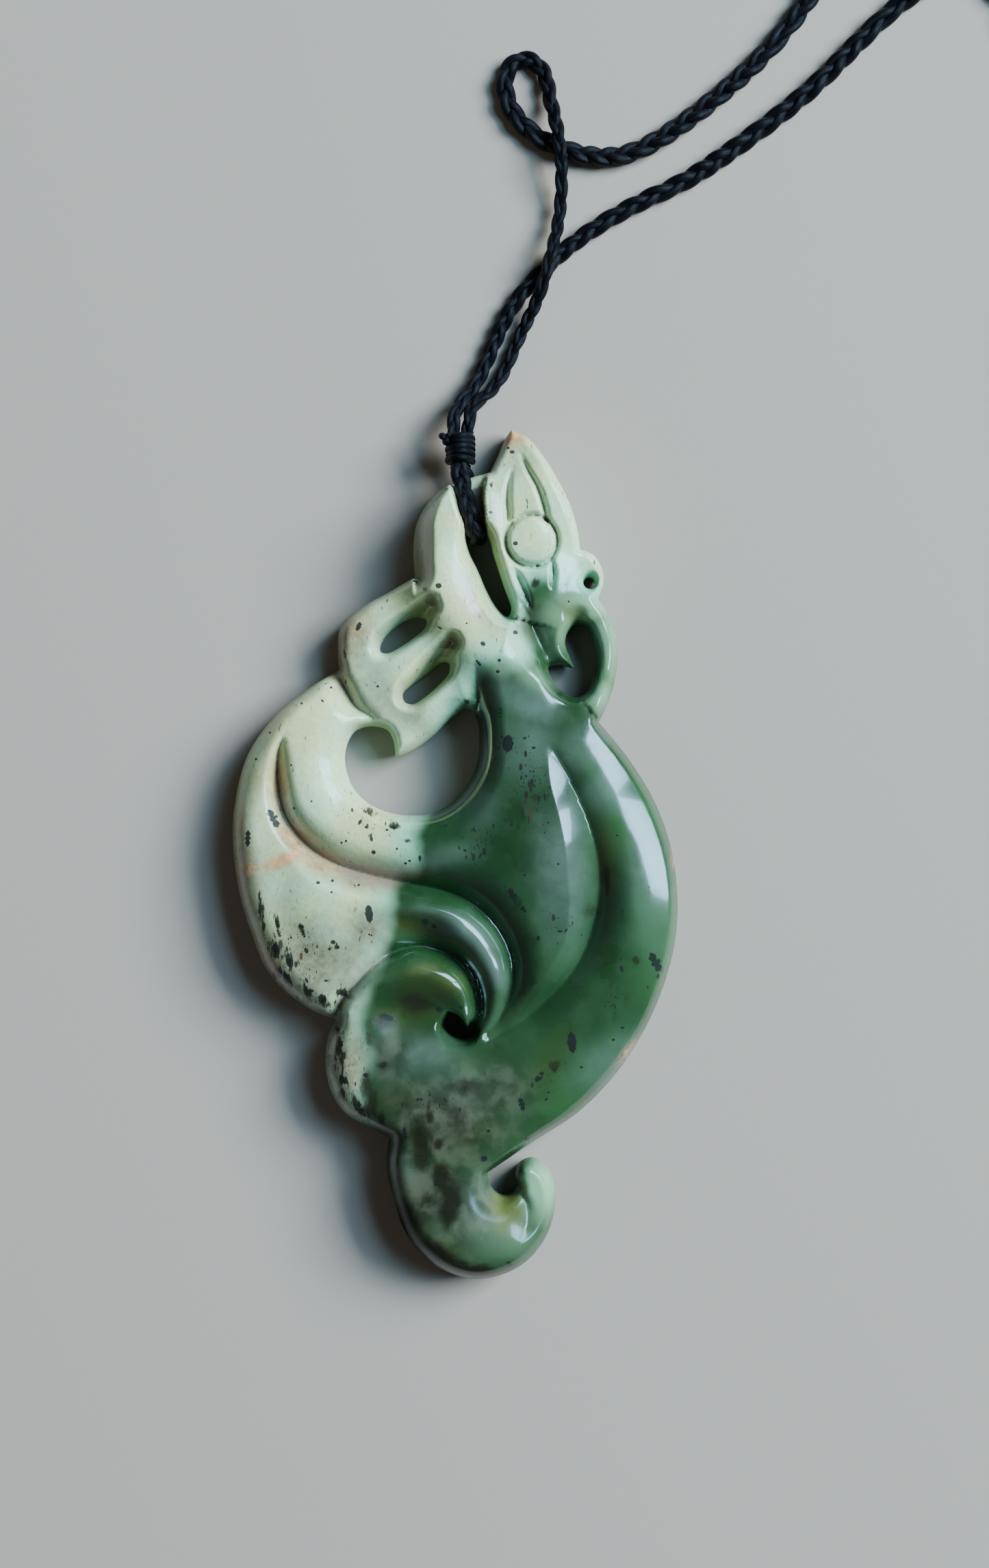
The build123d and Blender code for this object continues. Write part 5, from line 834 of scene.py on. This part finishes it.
def plait(name, line, up, half_width, pitch, step, sides=10, seed=1):
    """Three strands plaited flat along a line. half_width and pitch are millimetres at each share of it."""
    points, stops = even_points(line, step * MM)
    normals, across = carried_frames(points, up)
    share = stops / stops[-1]
    half = half_width(share) * MM
    rng = np.random.default_rng(seed)
    wander = sum(rng.uniform(0.3, 1.0) * np.sin(stops / MM * f + rng.uniform(0, 6.28))
                 for f in (0.21, 0.37, 0.63)) / 2
    phase = np.concatenate([[0], np.cumsum(np.diff(stops) / (pitch(share[1:]) * MM))]) * 2 * math.pi
    phase = phase + PLAIT_WANDER * wander
    tubes = []
    for k in range(3):
        turn = phase + 2 * math.pi * k / 3
        strand = half * STRAND_SHARE * (1 + STRAND_WAVER * np.sin(stops / MM * 0.9 + 2 * k))
        sideways = (half - strand) * STRAND_SPREAD * np.sin(turn)
        lift = STRAND_LIFT * strand * np.sin(2 * turn)
        centres = points + across * sideways[:, None] + normals * lift[:, None]
        rings = strand_rings(centres, normals, strand, sides, STRAND_SQUASH)
        tubes.append((rings, sides, stops / MM + 37.0 * k))
    return tubes_object(name, tubes), points


def whipping_wraps():
    """Wraps of thin twine round the joined cords, their end knot, and the cords' core inside them."""
    foot = whipping_foot()
    deep = BECKET_DIAMETER + STRAND_GAP / 2 + SEAT_GAP / 2
    sides = 12
    t = np.linspace(0, WRAP_TURNS, 260)
    angle = 2 * math.pi * t
    ease = np.minimum(1, np.minimum(t, WRAP_TURNS - t) * 2)
    rise = (TWINE_RADIUS + (WHIPPING_LONG - 2 * TWINE_RADIUS) * t / WRAP_TURNS
            + WRAP_LEAN * np.sin(angle + 0.6) * ease)
    bed = 0.05 * np.sin(3.1 * t) - TWINE_RADIUS * 0.9
    x = (WHIPPING_WIDE / 2 + bed) * np.cos(angle)
    z = (deep + bed) * np.sin(angle)
    y = np.clip(rise, TWINE_RADIUS * 0.8, WHIPPING_LONG - TWINE_RADIUS * 0.8)
    centres = (foot + np.column_stack([x, y, z])) * MM
    outward = unit(np.column_stack([x / WHIPPING_WIDE, np.zeros(len(t)), z / deep / 2]))
    wraps = strand_rings(centres, outward, TWINE_RADIUS * MM, sides, squash=0.95)
    along = np.concatenate([[0], np.cumsum(np.linalg.norm(np.diff(centres, axis=0), axis=1))]) / MM
    # the end knot: a small overhand loop on the upper left
    middle = foot + np.array([-WHIPPING_WIDE / 2 + 0.1, WHIPPING_LONG - 0.62, deep / 2 + 0.1])
    s = np.linspace(0, 2 * math.pi, 90)
    trefoil = np.column_stack([
        KNOT_SIZE * (np.sin(s) + 0.9 * np.sin(2 * s)) * 0.62,
        KNOT_SIZE * (np.cos(s) - 0.9 * np.cos(2 * s)) * 0.55,
        0.30 * -np.sin(3 * s)])
    up = np.tile([0.1, 0.2, 1.0], (len(s), 1))
    knot = strand_rings((middle + trefoil) * MM, up, KNOT_TWINE_RADIUS * MM, sides)
    # the core that the wraps lie on
    u = np.linspace(0, 2 * math.pi, 24, endpoint=False)
    ends = ((0.15, 0.55), (0.3, 0.8), (WHIPPING_LONG - 0.3, 0.8), (WHIPPING_LONG - 0.15, 0.55))
    core = np.vstack([
        np.column_stack([grow * WHIPPING_WIDE / 2 * np.cos(u), np.full(len(u), y), grow * deep * np.sin(u)])
        for y, grow in ends])
    return tubes_object("wraps", [(wraps, sides, along), (knot, sides, s * 1.1 + 90),
                                  ((foot + core) * MM, len(u), [150, 151, 154, 155])])


class Nodes:
    """A short way to write a material's nodes."""

    def __init__(self, name):
        self.material = bpy.data.materials.new(name)
        self.material.use_nodes = True
        self.tree = self.material.node_tree
        self.tree.nodes.clear()
        self.shader = self.node("BsdfPrincipled")
        self.node("OutputMaterial", {"Surface": self.shader.outputs[0]})

    def node(self, kind, inputs=(), **settings):
        node = self.tree.nodes.new("ShaderNode" + kind)
        for key, value in settings.items():
            setattr(node, key, value)
        for key, value in dict(inputs).items():
            self.set(node.inputs[key], value)
        return node

    def set(self, socket, value):
        if hasattr(value, "is_output"):
            self.tree.links.new(value, socket)
        elif isinstance(value, tuple) and len(value) == 3 and socket.type == "RGBA":
            socket.default_value = (*value, 1)
        else:
            socket.default_value = value

    def math(self, operation, a, b, clamp=False):
        return self.node("Math", {0: a, 1: b}, operation=operation, use_clamp=clamp).outputs[0]

    def plus(self, a, b):
        return self.math("ADD", a, b)

    def less(self, a, b, clamp=False):
        return self.math("SUBTRACT", a, b, clamp)

    def times(self, a, b, clamp=False):
        return self.math("MULTIPLY", a, b, clamp)

    def noise(self, vector, scale, detail=4.0, roughness=0.5, distortion=0.0):
        return self.node("TexNoise", {"Vector": vector, "Scale": scale, "Detail": detail,
                                      "Roughness": roughness, "Distortion": distortion}).outputs["Fac"]

    def mapped(self, vector, scale, **inputs):
        return self.node("Mapping", {"Vector": vector, "Scale": scale, **inputs}).outputs[0]

    def step(self, value, low, high, **settings):
        node = self.node("MapRange", {"Value": value, "From Min": low, "From Max": high}, **settings)
        return node.outputs["Result"]

    def smooth(self, value, low, high):
        return self.step(value, low, high, interpolation_type="SMOOTHSTEP")

    def mix(self, share, a, b):
        node = self.node("Mix", data_type="RGBA")
        self.set(node.inputs["Factor"], share)
        colours = [s for s in node.inputs if s.type == "RGBA"]
        self.set(colours[0], a)
        self.set(colours[1], b)
        return [s for s in node.outputs if s.type == "RGBA"][0]

    def layers(self, colour, *rows):
        """A colour under others, each with the share that it covers."""
        for share, over in rows:
            colour = self.mix(share, colour, over)
        return colour

    def attribute(self, name):
        return self.node("Attribute", attribute_name=name, attribute_type="GEOMETRY").outputs["Fac"]

    def patch(self, name, least, noise):
        """A patch's share: its strength times the noise, raised by the least share."""
        return self.times(self.attribute(name), self.plus(least, noise))

    def bump(self, height, strength, distance, **normal):
        inputs = {"Height": height, "Strength": strength, "Distance": distance, **normal}
        return self.node("Bump", inputs).outputs[0]

    def surface(self, values):
        for key, value in values.items():
            self.set(self.shader.inputs[key], value)
        return self.material


def cord_material():
    """Black waxed thread: fibres along each strand, a dull wax sheen, and a painted sheen that makes the
    raised fibres a lighter blue-grey.
    """
    n = Nodes("waxed_cord")
    strand = n.node("UVMap", uv_map="strand").outputs[0]
    fibres = n.noise(n.mapped(strand, (14.0, 0.55, 1.0)), 1.0, 3.0, 0.6, 0.4)
    fine = n.noise(n.mapped(strand, (40.0, 1.4, 1.0)), 1.0, 2.0, 0.6, 0.2)
    relief = n.plus(n.times(fibres, 0.7), n.times(fine, 0.3))
    return n.surface({
        # painted sheen: the raised fibres are lighter and bluer
        "Base Color": n.mix(n.smooth(relief, 0.35, 0.68), (0.0008, 0.0008, 0.0012), (0.0050, 0.0055, 0.0085)),
        "Roughness": n.plus(0.30, n.times(fine, 0.2)),
        "Specular IOR Level": 0.20,
        "Normal": n.bump(relief, 0.9, 0.00012)})


def stone_material():
    """Flower jade: green and clouded on one side, pale and chalky on the other, specked with black."""
    n = Nodes("flower_jade")
    at = n.mapped(n.node("TexCoord").outputs["Object"], (1000.0, 1000.0, 1000.0))
    broad = n.noise(at, 0.11, 3.0, 0.5, 0.6)
    middling = n.noise(at, 0.40, 3.0, 0.5, 0.3)
    small = n.noise(at, 1.7, 4.0, 0.6, 0.4)
    fine = n.noise(at, 7.0, 3.0, 0.6, 0.0)
    wavering = n.less(fine, 0.5)
    drift = n.less(n.noise(at, 0.20, 2.0, 0.5, 0.0), 0.5)
    into_pale = n.plus(n.attribute("pale"), n.times(drift, 2.0))
    pale = n.smooth(into_pale, -1.3, 1.2)
    hollow = n.attribute("hollow")
    hazy = n.attribute("haze")
    edge = n.attribute("edge")

    haze = n.mix(n.smooth(middling, 0.36, 0.66), (0.013, 0.017, 0.009), (0.056, 0.067, 0.044))
    green = n.layers(
        n.mix(n.smooth(broad, 0.3, 0.7), (0.0048, 0.026, 0.0073), (0.013, 0.048, 0.017)),
        (n.times(n.smooth(middling, 0.45, 0.75), 0.35), (0.030, 0.070, 0.037)),
        # painted glow: lighter green where light passes through the right rim
        (n.times(n.attribute("bright"), 0.8), (0.023, 0.086, 0.027)),
        (n.patch("mist", 0.35, middling), (0.070, 0.118, 0.102)),
        (n.times(hazy, 0.9), haze),
        (n.attribute("aqua"), (0.170, 0.330, 0.200)),
        # darker green: the body's own dark teal, and painted shade in the basins and valleys
        (n.patch("deep", 0.3, broad), (0.004, 0.026, 0.011)),
        # painted shade: darker green down in the carved hollows
        (n.times(n.smooth(hollow, 0.3, 3.2), 0.55), (0.005, 0.028, 0.009)),
        (n.patch("moss", 0.35, middling), (0.100, 0.125, 0.035)),
        (n.patch("olive", 0.25, middling), (0.024, 0.038, 0.006)))

    sugar = n.smooth(n.noise(at, 1.3, 4.0, 0.65, 0.0), 0.30, 0.70)
    # a greyer pale stone, darkened further as painted shade where it faces away from the lamps
    ash = n.mix(sugar, (0.115, 0.130, 0.080), (0.185, 0.210, 0.140))
    # brown: the pale stone's rind, and painted shade in its grooves and left-facing edges
    tan = n.mix(sugar, (0.210, 0.140, 0.065), (0.320, 0.240, 0.125))
    cream = n.layers(
        n.mix(n.smooth(broad, 0.35, 0.65), (0.355, 0.440, 0.225), (0.290, 0.455, 0.300)),
        (n.times(n.smooth(small, 0.42, 0.72), 0.35), (0.500, 0.580, 0.390)),
        (n.times(n.smooth(into_pale, 4.5, 0.3), 0.8), (0.150, 0.390, 0.285)),
        (n.patch("ash", 0.45, middling), ash),
        # painted shade: browner grey down in the carved hollows
        (n.times(n.smooth(hollow, 0.35, 2.2), 0.85), (0.165, 0.138, 0.108)),
        (n.patch("tan", 0.35, middling), tan))

    # clouds of black, softer in the green stone and torn into streaks in the pale
    patchy = n.less(n.noise(at, 0.75, 3.0, 0.55, 0.0), 0.5)
    drawn = n.mapped(at, (2.6, 0.7, 1.0), Rotation=(0, 0, -0.28))
    streaky = n.less(n.noise(drawn, 1.0, 3.0, 0.6, 0.0), 0.5)
    soft = n.smooth(n.plus(n.attribute("cloud"), n.times(patchy, 1.1)), 0.10, 0.90)
    torn = n.smooth(n.plus(n.attribute("cloud"), n.times(streaky, 2.4)), 0.28, 0.66)
    tearing = n.plus(0.15, n.times(pale, 0.85))
    cloud = n.plus(soft, n.times(tearing, n.less(torn, soft)))

    # grains of three sizes, each a wavering dot in its cell
    grains = 0.0
    for scale, size, seed in ((0.80, 0.46, 0.0), (1.9, 0.38, 40.0), (2.5, 0.42, 75.0)):
        moved = n.mapped(at, (1.9, 0.9, 1.0), Location=(seed, seed, 0.0), Rotation=(0, 0, -0.35))
        cells = n.node("TexVoronoi", {"Vector": moved, "Scale": scale})
        chance = n.node("SeparateColor", {0: cells.outputs["Color"]}).outputs[0]
        reach = n.times(n.plus(n.attribute("grain"), 0.19), n.times(n.math("POWER", chance, 2.2), size))
        distance = n.plus(cells.outputs["Distance"], n.times(wavering, 0.16))
        grains = n.math("MAXIMUM", grains, n.step(n.less(distance, reach), 0.0, -0.035))
    spot = n.smooth(n.plus(n.attribute("spot"), n.times(wavering, 0.9)), 0.42, 0.62)
    rust = n.mix(sugar, (0.450, 0.175, 0.060), (0.480, 0.290, 0.140))
    dark = n.mix(n.smooth(middling, 0.57, 0.67), (0.010, 0.013, 0.012), (0.045, 0.026, 0.014))
    colour = n.layers(
        green,
        (pale, cream),
        (n.times(n.attribute("rust"), n.smooth(sugar, 0.0, 0.7)), rust),
        (n.times(cloud, 0.93), (0.008, 0.010, 0.005)),
        (n.times(grains, 0.9), dark),
        (n.times(spot, 0.94), (0.007, 0.011, 0.012)))

    # the polish is higher on the green stone, and dull at the rim and where the stone is hazy
    rough = n.plus(0.09, n.times(pale, 0.09))
    for share, more in ((hazy, 0.20), (edge, 0.30), (small, 0.10)):
        rough = n.plus(rough, n.times(share, more))
    coat = n.less(n.less(0.85, n.times(pale, 0.35)), n.times(hazy, 1.1))
    waves = n.bump(n.noise(at, 0.30, 2.0, 0.4, 0.0), 1.0, 0.00005)
    pits = n.bump(n.times(small, n.plus(0.25, pale)), 0.8, 0.00004, Normal=waves)
    return n.surface({
        "Base Color": colour,
        "Roughness": rough,
        "IOR": 1.61,
        "Specular IOR Level": n.less(n.less(0.5, n.times(edge, 0.4)), n.times(hazy, 0.3), clamp=True),
        "Coat Weight": n.times(coat, n.less(1.0, edge), clamp=True),
        "Coat Roughness": 0.07,
        "Coat IOR": 1.6,
        "Subsurface Weight": n.less(0.42, n.times(pale, 0.22)),
        "Subsurface Radius": (0.75, 1.0, 0.65),
        "Subsurface Scale": 0.0012,
        "Normal": n.bump(fine, 0.35, 0.00002, Normal=pits)})


def area_light(name, at, size, power, colour):
    """A lamp that faces the stone."""
    data = bpy.data.lights.new(name, "AREA")
    data.shape = "RECTANGLE"
    data.size, data.size_y = size
    data.energy = power
    data.color = colour
    light = bpy.data.objects.new(name, data)
    bpy.context.scene.collection.objects.link(light)
    light.location = at
    light.rotation_euler = (-Vector(at)).to_track_quat("-Z", "Y").to_euler()
    return light


# the camera: straight above, with the photo's frame
PHOTO = (1445, 2290)
MM_PER_PIXEL = 0.077
PHOTO_ORIGIN = (665, 1247)          # the pixel that shows the frame's origin
CAMERA_DISTANCE = 0.280
SHOWN_LEVEL = 0.003
SENSOR = 36.0
middle = Vector(((PHOTO[0] / 2 - PHOTO_ORIGIN[0]) * MM_PER_PIXEL * MM,
                 (PHOTO_ORIGIN[1] - PHOTO[1] / 2) * MM_PER_PIXEL * MM, SHOWN_LEVEL))
camera_data = bpy.data.cameras.new("camera")
camera_data.sensor_width = SENSOR
camera_data.lens = SENSOR * CAMERA_DISTANCE / (PHOTO[1] * MM_PER_PIXEL * MM)
camera_data.clip_start = 0.01
camera = bpy.data.objects.new("camera", camera_data)
camera.location = middle + Vector((0, 0, CAMERA_DISTANCE))
bpy.context.scene.collection.objects.link(camera)
bpy.context.scene.camera = camera

# the cords
cord_ends = neck_cord_points()
plaited_cord, cord_path = plait(
    "plaited_cord", spline_line(cord_ends), (0, 0, 1),
    half_width=lambda share: np.interp(share, *CORD_HALF_WIDTHS),
    pitch=lambda share: np.interp(share, *CORD_PITCHES),
    step=0.26, seed=4)
plaited_becket, _ = plait(
    "plaited_becket", spline_line(becket_points()), (0, 0, 1),
    half_width=lambda share: np.full(len(share), BECKET_HALF_WIDTH),
    pitch=lambda share: np.full(len(share), BECKET_PITCH),
    step=0.12, sides=12, seed=2)
black = cord_material()
for piece, node in ((plaited_cord, "neck_cord"), (plaited_becket, "becket"), (whipping_wraps(), "whipping")):
    piece.data.materials.append(black)
    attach(piece, "root")
    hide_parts(node)

# the stone
stone = carved_stone()
stone.data.materials.append(stone_material())
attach(stone, "root")
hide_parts("pendant")

# the table and the light
floor = mesh_object("floor", [(-3, -3, 0), (3, -3, 0), (3, 3, 0), (-3, 3, 0)], [(0, 1, 2, 3)], smooth=False)
pale_table = Nodes("pale_table").surface({"Base Color": (0.250, 0.233, 0.208), "Roughness": 0.7})
floor.data.materials.append(pale_table)
WINDOW_DISTANCE = 1.0
WINDOW_LOW, WINDOW_HIGH = 0.80, 1.36
# columns: name, azimuth (degrees), across (metres), power (watts)
for name, azimuth, across, power in (
        ("window_left_pane", 39, 0.50, 14.5), ("window_right_pane", 9, 0.34, 10.0)):
    turn = math.radians(azimuth)
    at = (WINDOW_DISTANCE * math.cos(turn), WINDOW_DISTANCE * math.sin(turn), (WINDOW_LOW + WINDOW_HIGH) / 2)
    area_light(name, at, (across, WINDOW_HIGH - WINDOW_LOW), power, (0.44, 0.75, 1.0))
# the sky and the fill give even light without a reflection
for name, at, size, power, colour in (
        ("sky", (1.18, 0.52, 0.80), (0.9, 0.6), 104.0, (0.90, 0.96, 1.0)),
        ("fill", (-0.9, -0.4, 1.1), (1.2, 1.2), 1.8, (1.0, 0.90, 0.78))):
    area_light(name, at, size, power, colour).visible_glossy = False
world = bpy.data.worlds.new("room")
bpy.context.scene.world = world
world.use_nodes = True
background = world.node_tree.nodes["Background"]
background.inputs["Color"].default_value = (0.90, 0.88, 0.86, 1)
background.inputs["Strength"].default_value = 0.08
